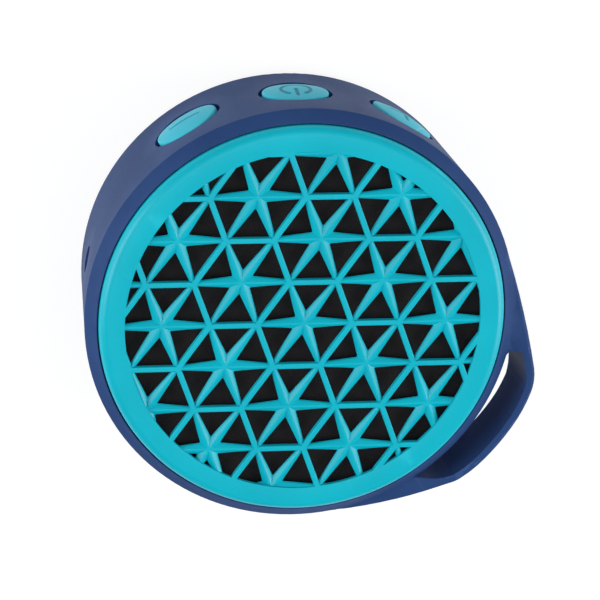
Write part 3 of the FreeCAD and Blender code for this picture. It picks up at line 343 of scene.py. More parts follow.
def metal(name, colour, dull, roughness, line_mm, depth_mm):
    """Metal with lines, which are noise stretched along X, and broad stains in the colour."""
    material, tree, place, shader = new_finish(name)
    stretched = add(tree, "ShaderNodeMapping", {"Scale": (1 / LINE_STRETCH, 1.0, 1.0)},
                    {"Vector": place}).outputs[0]
    lines = noise(tree, stretched, line_mm, 2.0)
    stain = noise(tree, place, 6.0, 4.0)
    base = blend_colours(tree, between(tree, stain, 0.35, 0.7), colour, dull)
    tree.links.new(base, shader.inputs["Base Color"])
    tree.links.new(between(tree, lines, 0.3, 0.7, roughness - 0.07, roughness + 0.07),
                   shader.inputs["Roughness"])
    shader.inputs["Metallic"].default_value = 1.0
    relief(tree, shader, lines, depth_mm)
    return material


zinc_steel = metal("zinc_plated_steel", "#B9BCC0", "#A3A6AA", 0.34, 0.25, 0.004)
screw_steel = metal("blackened_screw_steel", "#4A4C50", "#3A3C40", 0.36, 0.20, 0.003)
plated_steel = metal("tin_plated_shell", "#C9CCD0", "#B4B7BB", 0.28, 0.20, 0.002)
can_aluminium = metal("drawn_can_aluminium", "#C4C6C8", "#AEB0B2", 0.32, 0.20, 0.002)
copper_winding = metal("enamelled_copper_wire", "#B8703C", "#9A5A2E", 0.30, 0.12, 0.006)
cell_foil = metal("laminated_cell_foil", "#A9ACB1", "#989BA0", 0.42, 0.60, 0.010)
print("metal finishes:", 6)

# %% [markdown]
# ## Woven cloth, paper and laminate
#
# Acoustic cloth is a plain weave: each thread passes over one and under the next.  Two sets of
# waves stand for the threads, and a checker of the same pitch says which set lies on top.  The
# real pitch is near 0.35 mm, which is too fine to show here, so it is drawn at 0.5 mm.

# %% Cloth and board finishes
def woven(name, colour, gap_colour, pitch_mm, depth_mm, roughness=0.85, turn_deg=0.0):
    material, tree, place, shader = new_finish(name)
    turned = add(tree, "ShaderNodeMapping", {"Rotation": (0, 0, math.radians(turn_deg))},
                 {"Vector": place}).outputs[0]
    over = add(tree, "ShaderNodeTexChecker", {"Scale": per_mm(pitch_mm)},
               {"Vector": turned}).outputs["Fac"]
    sets = [add(tree, "ShaderNodeTexWave", {
        "wave_type": "BANDS", "bands_direction": way, "wave_profile": "SIN",
        "Scale": per_mm(pitch_mm) / 20 * 2 * math.pi, "Distortion": 0.4, "Detail": 1.0},
        {"Vector": turned}).outputs["Fac"] for way in ("X", "Y")]
    thread = add(tree, "ShaderNodeMix", {"data_type": "FLOAT"},
                 {0: over, 2: sets[0], 3: sets[1]}).outputs[0]
    fuzz = noise(tree, place, 0.25, 3.0)
    height = calculate(tree, "MULTIPLY_ADD", fuzz, 0.25, thread)
    base = blend_colours(tree, between(tree, thread, 0.1, 0.9), gap_colour, colour)
    tree.links.new(base, shader.inputs["Base Color"])
    tree.links.new(between(tree, fuzz, 0.3, 0.7, roughness - 0.05, roughness + 0.05),
                   shader.inputs["Roughness"])
    shader.inputs["Specular IOR Level"].default_value = 0.25
    shader.inputs["Sheen Weight"].default_value = 0.12
    relief(tree, shader, height, depth_mm)
    return material


acoustic_weave = woven("plain_woven_polyester", "#242022", "#0E0C0D", 0.5, 0.06, turn_deg=12.0)
spider_weave = woven("resin_stiffened_cotton", "#B07A2C", "#8A5C1E", 0.45, 0.05)
# Pressed paper pulp of the cone: charcoal fibres, matt.
cone_paper = moulded("pressed_paper_pulp", "#26262A", "#1C1C20", "#3A3A3E", 0.80, 0.45, 0.030, 0.3)
# Open-cell polyurethane foam: dark, with open pores.
black_foam = moulded("open_cell_foam", "#222224", "#121213", "#303033", 0.90, 0.50, 0.120, 0.2)
# Glass-fibre board under a green solder mask: smooth, with the weave just showing through.
board_laminate = woven("green_masked_laminate", "#1E5A3A", "#184E32", 0.6, 0.004, roughness=0.35)
print("cloth, paper, foam and board finishes:", 5)

# %% [markdown]
# ## Finishes on the CAD pieces
#
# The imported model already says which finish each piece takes, as a slot name.  The slots become the
# real finishes here, in one pass over the pieces, so no piece keeps a flat colour.

# %% Dress the CAD nodes
FINISHES = {
    "navy_rubber": navy_silicone, "black_rubber": pad_rubber, "cyan_plastic": cyan_abs,
    "button_plastic": cyan_abs, "black_cloth": acoustic_weave, "black_foam": black_foam,
    "black_plastic": black_abs, "zinc_steel": zinc_steel, "screw_steel": screw_steel,
    "ferrite": ferrite, "cone_paper": cone_paper, "roll_rubber": roll_rubber,
    "spider_cloth": spider_weave, "copper": copper_winding, "board_laminate": board_laminate,
    "plated_steel": plated_steel, "can_aluminium": can_aluminium, "white_nylon": white_nylon,
    "cell_foil": cell_foil}

for name, piece in nodes.items():
    for place in piece.material_slots:
        place.material = FINISHES[place.material.name.split(".")[0]]
print("dressed", len(nodes), "CAD pieces in", len(FINISHES), "finishes")

# %% [markdown]
# ## The rubber sleeve's carry loop
#
# The sleeve's solid gives the loop its plan.  On the real sleeve the strap leaves the body in one soft
# curve, and the finger gap runs out to a point at its lower end.  A copy of the solid is joined,
# cut into narrow slices round the loop, and its two skins are eased into those curves.

# %% Sleeve measures
SLEEVE_RADIUS, SLEEVE_FRONT = 41.5, 31.2
BACK_RADIUS, WALL_FOOT = 39.8, 0.8
WALL_LEAN = (SLEEVE_RADIUS - BACK_RADIUS) / (SLEEVE_FRONT - WALL_FOOT)
SLICES_DEG = range(-62, -8)
SKIN_SHARP_DEG = 24
GAP_RIM_ROUND = 0.6
STRAP_DEPTH = 10.3
# Tables of (degrees round the axis, value): millimetres outwards, millimetres down, share of the gap,
# and the radius that parts the strap's inner skin from its outer one.
STRAP_EASE = ((-56, 0.0), (-52, 0.02), (-50, 0.06), (-48, 0.16), (-46, 0.34), (-44, 0.50), (-41, 0.54),
              (-26, 0.52), (-22, 0.34), (-18, 0.06), (-15, 0.0))
BACK_EASE = ((-58, 0.0), (-50, 0.7), (-44, 1.4), (-36, 1.6), (-29, 1.5), (-22, 1.9), (-18, 1.6),
             (-12, 0.6), (-6, 0.0))
GAP_EASE = ((-55.8, 0.02), (-55, 0.20), (-54, 0.45), (-53, 0.66), (-52, 0.81), (-51, 0.92),
            (-50, 0.98), (-49, 1.0))
MID_STRAP = ((-56, 44.4), (-55, 44.6), (-52, 45.4), (-48, 46.5), (-44, 46.8), (-20, 47.7), (-10, 45.0))
print("wall leans in by", round(math.degrees(math.atan(WALL_LEAN)), 2), "degrees")


# %% Sleeve
def from_table(turn, table):
    """Value at each angle, on the straight runs between a table's rows."""
    return np.interp(turn, *np.array(table).T)


def eased(turn, table, soft_deg=0.5):
    """Value at each angle from a table, averaged over soft_deg each side."""
    return np.mean([from_table(turn + step * soft_deg, table) for step in np.linspace(-1, 1, 7)], axis=0)


def points_of(corners):
    """Places of a mesh's or a bmesh's points in millimetres, as rows."""
    return np.array([corner.co for corner in corners]) / MM


def slice_loop(shape):
    """Cuts the loop's faces by a plane through the axis at each whole degree, and not the wall's."""
    for turn in np.radians(SLICES_DEG).tolist():
        faces = [face for face in shape.faces if any(
            corner.co.x > 15 * MM and math.hypot(corner.co.x, corner.co.y) > (SLEEVE_RADIUS + 0.1) * MM
            for corner in face.verts)]
        edges = dict.fromkeys(edge for face in faces for edge in face.edges)
        corners = dict.fromkeys(corner for face in faces for corner in face.verts)
        bmesh.ops.bisect_plane(shape, geom=[*faces, *edges, *corners], plane_co=(0, 0, 0),
                               plane_no=(-math.sin(turn), math.cos(turn), 0), dist=1e-7)


def eased_places(points):
    """Places of the sleeve's points with the loop's skins eased.

    Radius of the inner skin: wall + (radius - wall) * gap share.  Then every point of the loop moves
    out by the strap's table and down by the back's, less so within 3 and 1.5 mm of the wall.
    """
    radius, turn = polar(points)
    below = SLEEVE_FRONT - points[:, 2]
    wall = SLEEVE_RADIUS - below * WALL_LEAN
    proud = radius - wall
    outside = proud > 0.02
    mid_strap = from_table(turn, MID_STRAP) - below * WALL_LEAN
    inner = outside & (radius < mid_strap) & (turn > -55.9) & (turn < -48.9)
    place = np.where(inner, wall + proud * eased(turn, GAP_EASE), radius)
    shift = eased(turn, STRAP_EASE, 2.0) * np.clip(proud / 3.0, 0, 1)
    place += np.where(outside & (turn > -56) & (turn < -14), shift, 0)
    drop = eased(turn, BACK_EASE, 3.0) * np.clip(below / STRAP_DEPTH, 0, 1) * np.clip(proud / 1.5, 0, 1)
    x, y = (points[:, :2] * (place / radius)[:, None]).T
    x = np.minimum(x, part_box("rubber_sleeve")[1].x / MM)
    z = points[:, 2] - np.where(outside & (turn > -54) & (turn < -4), drop, 0)
    return np.stack([x, y, z], axis=-1)


def gap_rim(shape):
    """Edges of the finger gap's front rim, where the surface turns by more than 50 degrees."""
    middle = np.array([points_of(edge.verts).mean(axis=0) for edge in shape.edges])
    radius, turn = polar(middle)
    near = (middle[:, 2] > 30.2) & (radius > 41.7) & (turn > -55) & (turn < -10)
    return [edge for edge, here in zip(shape.edges, near)
            if here and len(edge.link_faces) == 2 and edge.calc_face_angle(0) > math.radians(50)]


def keep_front_crease(mesh):
    """Marks the sleeve's front edge as sharp, except where the loop grows out of it."""
    points = points_of(mesh.vertices)
    radius, turn = polar(points)
    on_edge = (abs(points[:, 2] - SLEEVE_FRONT) < 0.02) & (abs(radius - SLEEVE_RADIUS) < 0.05)
    on_edge &= (turn < -72) | (turn > 14)
    crease = [edge for edge in mesh.edges if all(on_edge[number] for number in edge.vertices)]
    for edge in crease:
        edge.use_edge_sharp = True
    print("front crease kept on", len(crease), "edges")


def build_skin(source):
    """Copy of the sleeve with its loop eased, the gap's front rim rounded and even shading."""
    shape = merged_copy(source)
    slice_loop(shape)
    for corner, place in zip(shape.verts, eased_places(points_of(shape.verts)) * MM):
        corner.co = place
    rim = gap_rim(shape)
    print("rim edges rounded:", len(rim))
    bmesh.ops.bevel(shape, geom=rim, offset=GAP_RIM_ROUND * MM, offset_type="OFFSET", segments=4,
                    profile=0.5, affect="EDGES", clamp_overlap=True)
    bmesh.ops.triangulate(shape, faces=[face for face in shape.faces if len(face.verts) > 4])
    made = finished("rubber_skin", shape, SKIN_SHARP_DEG)
    keep_front_crease(made.data)
    made.modifiers.new("even_shading", "WEIGHTED_NORMAL").keep_sharp = True
    return made


rubber_skin = build_skin(nodes["rubber_sleeve"])
stand_in(rubber_skin, navy_silicone, "cabinet", "rubber_sleeve")
print("sleeve:", len(rubber_skin.data.vertices), "points")

# %% [markdown]
# ## The grille's ring
#
# The ring and the star net are one moulding.  The ring is turned from its section: a flat face, a
# generous round on the outer edge that catches the light, and a skirt that goes down into the body.

# %% Grille ring
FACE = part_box("front_grille")[1].z / MM
RING_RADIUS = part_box("front_grille")[1].x / MM
RING_DEPTH, RING_ROUND = 2.7, 1.8
OPENING, INNER_ROUND = 34.15, 0.04
LIP_DEPTH, LIP_CORNER, LIP_UNDERCUT = 1.0, 0.15, 1.1
NET_BACK = FACE - 2.4
SKIRT_RADIUS, SKIRT_WALL = RING_RADIUS - 0.2, 1.8
TONGUE_OUTER, TONGUE_INNER, TONGUE_DEPTH = 37.36, 36.61, 0.9
TONGUE_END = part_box("front_grille")[0].z / MM
SKIRT_END = TONGUE_END + TONGUE_DEPTH

ring_section = np.vstack([
    [(OPENING + LIP_UNDERCUT, NET_BACK), (OPENING + LIP_CORNER, FACE - LIP_DEPTH),
     (OPENING, FACE - LIP_DEPTH + LIP_CORNER)],
    arc((OPENING + INNER_ROUND, FACE - INNER_ROUND), INNER_ROUND, 180, 90, 4),
    arc((RING_RADIUS - RING_ROUND, FACE - RING_ROUND), RING_ROUND, 90, 0, 14),
    [(RING_RADIUS, FACE - RING_DEPTH), (SKIRT_RADIUS, FACE - RING_DEPTH), (SKIRT_RADIUS, SKIRT_END),
     (TONGUE_OUTER, SKIRT_END), (TONGUE_OUTER, TONGUE_END), (TONGUE_INNER, TONGUE_END),
     (TONGUE_INNER, SKIRT_END), (SKIRT_RADIUS - SKIRT_WALL, SKIRT_END),
     (SKIRT_RADIUS - SKIRT_WALL, NET_BACK)]])
grille_ring = revolved("grille_ring", ring_section[::-1])
print("grille ring:", len(grille_ring.data.polygons), "faces")

# %% [markdown]
# ## The star net
#
# The net is a skewed triangular lattice.  Every third node is a star: its six arms drop below the
# plain bars, carry a flat ridge, and widen towards the middle.  All cells round a star are alike, so
# one star cell is worked out and copied to each star's place.  A cell is six triangles, and each
# triangle is a closed band of rows: from the bars' centre lines inwards to the hole's rim, over its
# rounded edge, down the wall, and back under the bars.

# %% Lattice measures
LEVEL_PITCH, SLANT_PITCH, SLANT_ANGLE = 9.09, 10.35, math.radians(55.2)
FIRST_STAR = np.array([-9.40, 25.25])
BAR_HALF, BAR_DEPTH = 0.52, 0.8
NOTCH = 2.15
RIDGE_HALF, TIP_HALF = 0.18, 0.42
ARM_STEP, STAR_DEPTH, FLANK_SLOPE = 0.22, 0.60, 0.70
RIM_ROUND = 0.16
NET_DEPTH = 1.4
HOLE_CORNER, NOTCH_CORNER = 0.22, 0.35
BAR_EDGE = 0.01
CELL_REACH = 14.0


def lattice_point(along, up):
    """Place of a lattice node: along steps of the level row plus up steps of the rising row."""
    return np.array([along * LEVEL_PITCH + up * SLANT_PITCH * math.cos(SLANT_ANGLE),
                     up * SLANT_PITCH * math.sin(SLANT_ANGLE)])


NEIGHBOURS = ((1, 0), (0, 1), (-1, 1), (-1, 0), (0, -1), (1, -1))
ARM_ENDS = np.array([lattice_point(*step) for step in NEIGHBOURS])
steps = range(-12, 13)
STARS = np.array([FIRST_STAR + lattice_point(along, up) for along in steps for up in steps
                  if (along - up) % 3 == 0])
STARS = STARS[np.hypot(*STARS.T) < OPENING + CELL_REACH]
print("stars in the net:", len(STARS))

# %% [markdown]
# The top of a cell is a height over each point: the bars stay level with the ring's face, and the
# arms are ridges that sink towards the star.  The underside follows in the same way.

# %% Height of a star cell
def unit(vectors):
    return vectors / np.linalg.norm(vectors, axis=-1, keepdims=True)


def turned_left(vectors):
    return np.stack([-vectors[..., 1], vectors[..., 0]], axis=-1)


def on_bar(points):
    """Whether a point lies within half a bar's width of one of the six bars round the star."""
    inwards = turned_left(unit(np.roll(ARM_ENDS, -1, axis=0) - ARM_ENDS))
    return ((points[..., None, :] - ARM_ENDS) * inwards).sum(-1).min(-1) <= BAR_HALF + BAR_EDGE


def share_out(reach):
    """Share of the way from the star's centre to the end of each arm, from 0 to 1."""
    return np.clip(reach / np.linalg.norm(ARM_ENDS, axis=-1), 0, 1)


def cell_height(points):
    """Top of the net over a cell, 0 at the grille's face.

    Plain bars stay at 0.  An arm lies ARM_STEP to STAR_DEPTH lower, by the share of the way to the
    star's centre, and falls by FLANK_SLOPE for each millimetre beyond the ridge.  The highest arm wins.
    """
    way = unit(ARM_ENDS)
    reach = (points[..., None, :] * way).sum(-1)
    side = np.abs((points[..., None, :] * turned_left(way)).sum(-1))
    ridge = -(STAR_DEPTH + (ARM_STEP - STAR_DEPTH) * share_out(reach))
    arm = ridge - np.maximum(side - RIDGE_HALF, 0) * FLANK_SLOPE
    behind = -9.0
    return np.where(on_bar(points), 0.0, np.where(reach > -1e-9, arm, behind).max(-1))


def cell_back(points):
    """Underside: BAR_DEPTH under the plain bars, deepening to NET_DEPTH under a star's centre."""
    share = share_out((points[..., None, :] * unit(ARM_ENDS)).sum(-1)).max(-1)
    return np.where(on_bar(points), -BAR_DEPTH, -(NET_DEPTH + (BAR_DEPTH - NET_DEPTH) * share))


print("a star's centre lies", -float(cell_height(np.zeros(2))), "mm below the face")

# %% [markdown]
# A cell's rows all have the same number of points, so that one grid of faces joins them.  Each row is
# a triangle with rounded corners, and two of its points step down from the bar's face to the arm's.

# %% Rows of a star cell
def crossing(normal_a, reach_a, normal_b, reach_b):
    """Point p with normal_a . p = reach_a and normal_b . p = reach_b, for arrays of lines."""
    wide = normal_a[..., 0] * normal_b[..., 1] - normal_a[..., 1] * normal_b[..., 0]
    return np.stack([(reach_a * normal_b[..., 1] - reach_b * normal_a[..., 1]) / wide,
                     (normal_a[..., 0] * reach_b - normal_b[..., 0] * reach_a) / wide], axis=-1)


def cell_lines():
    """Lines as (normal, reach) for each of the six triangles: the bar, both arms, both hole edges."""
    a, b = ARM_ENDS, np.roll(ARM_ENDS, -1, axis=0)
    bar_normal = turned_left(unit(b - a))
    bar = (bar_normal, (bar_normal * a).sum(-1))
    arm_a = (turned_left(unit(a)), np.zeros(6))
    arm_b = (-turned_left(unit(b)), np.zeros(6))
    edges = []
    for end, across in ((a, arm_a[0]), (b, arm_b[0])):
        wide = unit(end) * NOTCH * math.cos(math.pi / 6) + across * NOTCH * math.sin(math.pi / 6)
        narrow = end + across * TIP_HALF
        normal = turned_left(unit(narrow - wide))
        normal = normal * np.sign((normal * across).sum(-1, keepdims=True))
        edges.append((normal, (normal * wide).sum(-1)))
    return bar, arm_a, arm_b, edges[0], edges[1]


def cell_row(bar_in, arm_in=None, grown=0.0, corner=0.0, notch_corner=0.0):
    """One closed row of the six triangles, 32 points each.

    The row is a triangle whose sides are the bar's line moved in by bar_in, and either the arms'
    centre lines moved by arm_in or the hole's edges moved out by grown.  Its corners are quadratic
    curves that leave the sides corner (or notch_corner) before the tip.
    """
    bar, arm_a, arm_b, edge_a, edge_b = cell_lines()
    if arm_in is None:
        side_a, side_b = (edge_a[0], edge_a[1] - grown), (edge_b[0], edge_b[1] - grown)
    else:
        side_a, side_b = (arm_a[0], arm_a[1] + arm_in), (arm_b[0], arm_b[1] + arm_in)
    side_c = (bar[0], bar[1] + bar_in)
    tips = [crossing(*side_c, *side_a), crossing(*side_c, *side_b), crossing(*side_a, *side_b)]
    cuts = [corner, corner, notch_corner]
    ways = [unit(tips[(i + 1) % 3] - tips[i]) for i in range(3)]

    def curve(i, share):
        """Corner i: (1 - s)^2 before + 2 s (1 - s) tip + s^2 after."""
        before, after = tips[i] - ways[i - 1] * cuts[i], tips[i] + ways[i] * cuts[i]
        return (1 - share) ** 2 * before + 2 * share * (1 - share) * tips[i] + share ** 2 * after

    def past_bars(near, far, reach, beside):
        """Share of the way from near to far that is past reach from both its bar and the one beside."""
        shares = []
        for turn in (0, beside):
            normal, line = np.roll(bar[0], turn, axis=0), np.roll(bar[1], turn)
            start, end = (near * normal).sum(-1) - line, (far * normal).sum(-1) - line
            shares.append((reach - start) / (end - start))
        return np.maximum(*shares)

    row = []
    for i in range(3):
        start, end = curve(i, 1.0), curve((i + 1) % 3, 0.0)
        row += [curve(i, 0.5), curve(i, 0.75), start]
        if i == 0:
            row += [start + (end - start) * share for share in np.arange(1, 6) / 6]
        else:
            near, far = (start, end) if i == 1 else (end, start)
            beside = -1 if i == 1 else 1
            first = np.maximum(0.01, past_bars(near, far, BAR_HALF + 0.002, beside))
            second = np.maximum(first + 0.01, past_bars(near, far, BAR_HALF + 0.05, beside))
            steps = [near + (far - near) * share[:, None] for share in (first, second)]
            inner = [steps[1] + (far - steps[1]) * share for share in np.arange(1, 5) / 5]
            row += (steps + inner) if i == 1 else (inner[::-1] + steps[::-1])
        row += [end, curve((i + 1) % 3, 0.25)]
    return np.stack(row, axis=1)


def star_cell():
    """Points of one star cell as (triangle, row, column, xyz): top rows, rim, wall and underside."""
    rim = [(reach, RIM_ROUND - math.sqrt(RIM_ROUND ** 2 - (RIM_ROUND - reach) ** 2))
           for reach in (RIM_ROUND, RIM_ROUND / 2, RIM_ROUND / 8, 0.0)]
    flat = [cell_row(0.0, arm_in=0.0), cell_row(0.14, arm_in=RIDGE_HALF * 0.7),
            cell_row(0.27, arm_in=RIDGE_HALF)]
    tops = [(row, cell_height(row)) for row in flat]
    for reach, drop in rim:
        row = cell_row(BAR_HALF - reach, grown=reach, corner=HOLE_CORNER, notch_corner=NOTCH_CORNER)
        tops.append((row, cell_height(row) - drop))
    last = tops[-1][1]
    wall = []
    for lean, share in ((0.03, 0.5), (0.06, 1.0)):
        row = cell_row(BAR_HALF + lean, grown=-lean, corner=HOLE_CORNER, notch_corner=NOTCH_CORNER)
        wall.append((row, last + (cell_back(row) - last) * share))
    under = [(flat[0], cell_back(flat[0]))]
    rows = [np.concatenate([row, height[..., None]], axis=-1) for row, height in tops + wall + under]
    return np.stack(rows, axis=1)


cell = star_cell()
print("star cell:", cell.shape, "points, lowest", round(float(cell[..., 2].min()), 2), "mm")

# %% [markdown]
# The cells reach past the ring, so the net is trimmed to a round plug that just enters the ring.
# The open outline of the cells is closed first, because the trimming needs a solid.

# %% Star net
def star_cells():
    """All star cells merged and closed: their outline's top and underside are bridged."""
    triangles, rows, columns = cell.shape[:3]
    one = np.concatenate([grid_faces(rows, columns, start=index * rows * columns)
                          for index in range(triangles)])
    points = np.concatenate([cell.reshape(-1, 3) + (*place, FACE) for place in STARS])
    faces = np.concatenate([one + index * triangles * rows * columns for index in range(len(STARS))])
    net = make_piece("star_net", points, [faces], merge_mm=2e-3)
    shape = bmesh.new()
    shape.from_mesh(net.data)
    bmesh.ops.bridge_loops(shape, edges=[edge for edge in shape.edges if edge.is_boundary])
    bmesh.ops.recalc_face_normals(shape, faces=shape.faces)
    print("open edges before trimming:", sum(not edge.is_manifold for edge in shape.edges))
    shape.to_mesh(net.data)
    shape.free()
    return net


def trim_to_ring(net):
    """Cuts the net to a disc that ends TRIM_OVERLAP inside the ring."""
    radius = OPENING + TRIM_OVERLAP
    plug = revolved("net_plug", [(0.0, NET_BACK - 1), (radius, NET_BACK - 1),
                                 (radius, FACE + 1), (0.0, FACE + 1)])
    trim = net.modifiers.new("trim", "BOOLEAN")
    trim.operation, trim.object, trim.solver = "INTERSECT", plug, "MANIFOLD"
    seen = net.evaluated_get(bpy.context.evaluated_depsgraph_get())
    trimmed = bpy.data.meshes.new_from_object(seen)
    net.modifiers.clear()
    net.data = trimmed
    bpy.data.objects.remove(plug)
    shade(trimmed)


TRIM_OVERLAP = 0.02
star_net = star_cells()
trim_to_ring(star_net)
print("star net:", len(star_net.data.polygons), "faces")

# %% [markdown]
# Ring and net stand for one moulding, so they ride on the same body in its place and share its finish.

# %% Grille pieces take their place
for piece in (grille_ring, star_net):
    stand_in(piece, cyan_abs, "cabinet", "front_grille")
print("the grille's node is shown by", grille_ring.name, "and", star_net.name)

# %% [markdown]
# ## Buttons with engraved signs
#
# Each button is a shallow dome with a plain sign cut into it: a bar for down, a cross for up and the
# common broken circle for power.  The dome is a square grid pressed into a disc, which keeps the
# grid even enough to carry the thin grooves.  The rim, the wall, the hidden flange and the stem
# follow as rings of the same number of points.

# %% Button measures
TAPER = math.atan(WALL_LEAN)
CONTROL_HEIGHT = 17.5
WALL_AT_CONTROLS = BACK_RADIUS + (CONTROL_HEIGHT - WALL_FOOT) * WALL_LEAN
CAP_RADIUS, CAP_EDGE, CAP_PROUD, CAP_DOME = 6.4, 0.5, 0.7, 24.0
DOME_CELLS = 96
FLANGE_RADIUS, FLANGE_THICK, STEM_RADIUS = CAP_RADIUS + 1.1, 0.9, 1.5
SLEEVE_WALL, HOUSING_WALL, FIT_GAP, SWITCH_REACH = 2.25, 1.8, 0.05, 33.75
FLANGE_FACE = -(SLEEVE_WALL + HOUSING_WALL + 2 * FIT_GAP
                + FLANGE_RADIUS ** 2 / (2 * (BACK_RADIUS - SLEEVE_WALL - HOUSING_WALL)))
STEM_END = SWITCH_REACH - WALL_AT_CONTROLS
STROKE_HALF, GROOVE = 0.36, 0.16
SIGN_RISE, SIGN_SQUEEZE = 0.55, 0.88
POWER_RADIUS, POWER_OPEN_DEG = 2.8, 35


def to_segment(across, up, start, end):
    """Distance from (across, up) to the segment from start to end."""
    start, end = np.array(start, float), np.array(end, float)
    way = end - start
    share = np.clip(((across - start[0]) * way[0] + (up - start[1]) * way[1]) / (way @ way), 0, 1)
    return np.hypot(across - start[0] - share * way[0], up - start[1] - share * way[1])


def minus_sign(across, up):
    return to_segment(across, up, (-3.0, 0), (3.0, 0))


def plus_sign(across, up):
    return np.minimum(minus_sign(across, up), to_segment(across, up, (0, -3.0), (0, 3.0)))


def power_sign(across, up):
    """Circle left open by POWER_OPEN_DEG each side of the top, and a bar into the opening."""
    up = (up - SIGN_RISE) * SIGN_SQUEEZE
    circle = np.abs(np.hypot(across, up) - POWER_RADIUS)
    turn = np.degrees(np.abs(np.arctan2(across, up)))
    tip = np.radians(POWER_OPEN_DEG)
    ends = np.hypot(np.abs(across) - POWER_RADIUS * np.sin(tip), up - POWER_RADIUS * np.cos(tip))
    return np.minimum(np.where(turn > POWER_OPEN_DEG, circle, ends),
                      to_segment(across, up, (0, 0.2), (0, 3.1)))


print("wall radius at the buttons:", round(WALL_AT_CONTROLS, 2), "mm")

# %% [markdown]
# The dome is part of a sphere, and a sign is sunk into it with soft sides.

# %% Button surface
def dome_height(distance):
    """Height of a sphere's cap at a distance from its axis: proud - R + sqrt(R^2 - d^2)."""
    return CAP_PROUD - CAP_DOME + np.sqrt(CAP_DOME ** 2 - distance ** 2)


def disc_grid(count, radius):
    """Square grid pressed into a disc: (x sqrt(1 - y^2/2), y sqrt(1 - x^2/2)) times radius."""
    line = np.linspace(-1, 1, count + 1)
    x, y = np.meshgrid(line, line, indexing="ij")
    return x * np.sqrt(1 - y * y / 2) * radius, y * np.sqrt(1 - x * x / 2) * radius


def stand_out(local, angle_deg):
    """Turns points from a button's own axes to stand out of the wall at an angle."""
    angle = math.radians(angle_deg)
    radial = np.array([math.cos(angle), math.sin(angle), 0.0])
    outwards = radial * math.cos(TAPER) - np.array([0, 0, math.sin(TAPER)])
    to_grille = radial * math.sin(TAPER) + np.array([0, 0, math.cos(TAPER)])
    middle = radial * WALL_AT_CONTROLS + np.array([0, 0, CONTROL_HEIGHT])
    along = np.cross(to_grille, outwards)
    return middle + local[:, :1] * along + local[:, 1:2] * to_grille + local[:, 2:] * outwards


def build_button(name, angle_deg, sign):
    """Cap with its grooves, then the rings of rim, flange and stem."""
    across, up = disc_grid(DOME_CELLS, CAP_RADIUS - CAP_EDGE)
    groove = 1 - np.clip((sign(across, up) - (STROKE_HALF - 0.1)) / 0.2, 0, 1)
    groove = groove * groove * (3 - 2 * groove)
    top = dome_height(np.hypot(across, up)) - GROOVE * groove
    number = np.arange(top.size).reshape(top.shape)
    cells = np.stack([number[:-1, :-1], number[1:, :-1], number[1:, 1:], number[:-1, 1:]], axis=-1)
    loop = np.concatenate([number[:-1, 0], number[-1, :-1], number[:0:-1, -1], number[0, :0:-1]])
    turn = np.arctan2(up.ravel()[loop], across.ravel()[loop])
    shoulder = float(dome_height(CAP_RADIUS - CAP_EDGE)) - CAP_EDGE
    rings = np.vstack([
        arc((CAP_RADIUS - CAP_EDGE, shoulder), CAP_EDGE, 90, 0, 6)[1:],
        [(CAP_RADIUS, FLANGE_FACE), (FLANGE_RADIUS, FLANGE_FACE),
         (FLANGE_RADIUS, FLANGE_FACE - FLANGE_THICK), (STEM_RADIUS, FLANGE_FACE - FLANGE_THICK),
         (STEM_RADIUS, STEM_END), (0.0, STEM_END)]])
    side = np.stack([rings[:, None, 0] * np.cos(turn), rings[:, None, 0] * np.sin(turn),
                     np.repeat(rings[:, 1:2], len(turn), axis=1)], axis=-1).reshape(-1, 3)
    local = np.vstack([np.stack([across, up, top], axis=-1).reshape(-1, 3), side])
    first, around = top.size, len(loop)
    rim_faces = np.stack([loop, first + np.arange(around), first + (np.arange(around) + 1) % around,
                          np.roll(loop, -1)], axis=-1)
    side_faces = grid_faces(len(rings), around, start=first)
    made = make_piece(name, stand_out(local, angle_deg),
                      [cells.reshape(-1, 4), rim_faces[:, ::-1], side_faces[:, ::-1]])
    engraving = np.zeros(len(made.data.vertices), np.float32)
    engraving[:first] = groove.ravel()
    made.data.attributes.new("engraving", "FLOAT", "POINT").data.foreach_set("value", engraving)
    return made


print("flange", round(-FLANGE_FACE, 2), "mm in, stem's end", round(-STEM_END, 2), "mm in")

# %% [markdown]
# The caps are a paler cyan than the grille, and the darker tone in their grooves is painted shade.

# %% Buttons
def groove_shaded(material, groove_shade):
    """Paints shade into a moulded finish: darker inside the grooves, where the mesh's own engraving
    attribute is 1.
    """
    tree = material.node_tree
    shader = next(node for node in tree.nodes if node.type == "BSDF_PRINCIPLED")
    cut = add(tree, "ShaderNodeAttribute", {"attribute_name": "engraving"}).outputs["Fac"]
    plain = shader.inputs["Base Color"].links[0].from_socket
    tree.links.new(blend_colours(tree, cut, plain, groove_shade), shader.inputs["Base Color"])
    return material


plain_abs = moulded("moulded_button_abs", "#48CFE4", "#42CAE0", "#8AE2EE", 0.42, 0.25, 0.004, 0.10)
# The darker teal laid into the grooves is painted shade, where the grooves' sides would be in shadow.
button_abs = groove_shaded(plain_abs, "#0592AE")
for key, angle_deg, sign in (("power", 90.6, power_sign), ("plus", 59.6, plus_sign),
                             ("minus", 121.6, minus_sign)):
    button = build_button(f"{key}_cap", angle_deg, sign)
    stand_in(button, button_abs, f"{key}_key", f"{key}_button")
    print(button.name, len(button.data.polygons), "faces")

# %% [markdown]
# ## Acoustic cloth
#
# Behind the net a disc of thin cloth is stretched and held at its edge between the net and a foam
# ring.  It is a polar grid, pulled tight, with a sag of a few hundredths of a millimetre from the
# weave's own tension, and it keeps the cloth's thickness.

# %% Cloth
cloth_low, cloth_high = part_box("acoustic_cloth")
CLOTH_RADIUS = cloth_high.x / MM
CLOTH_SAG, CLOTH_RIPPLE = 0.02, 0.015


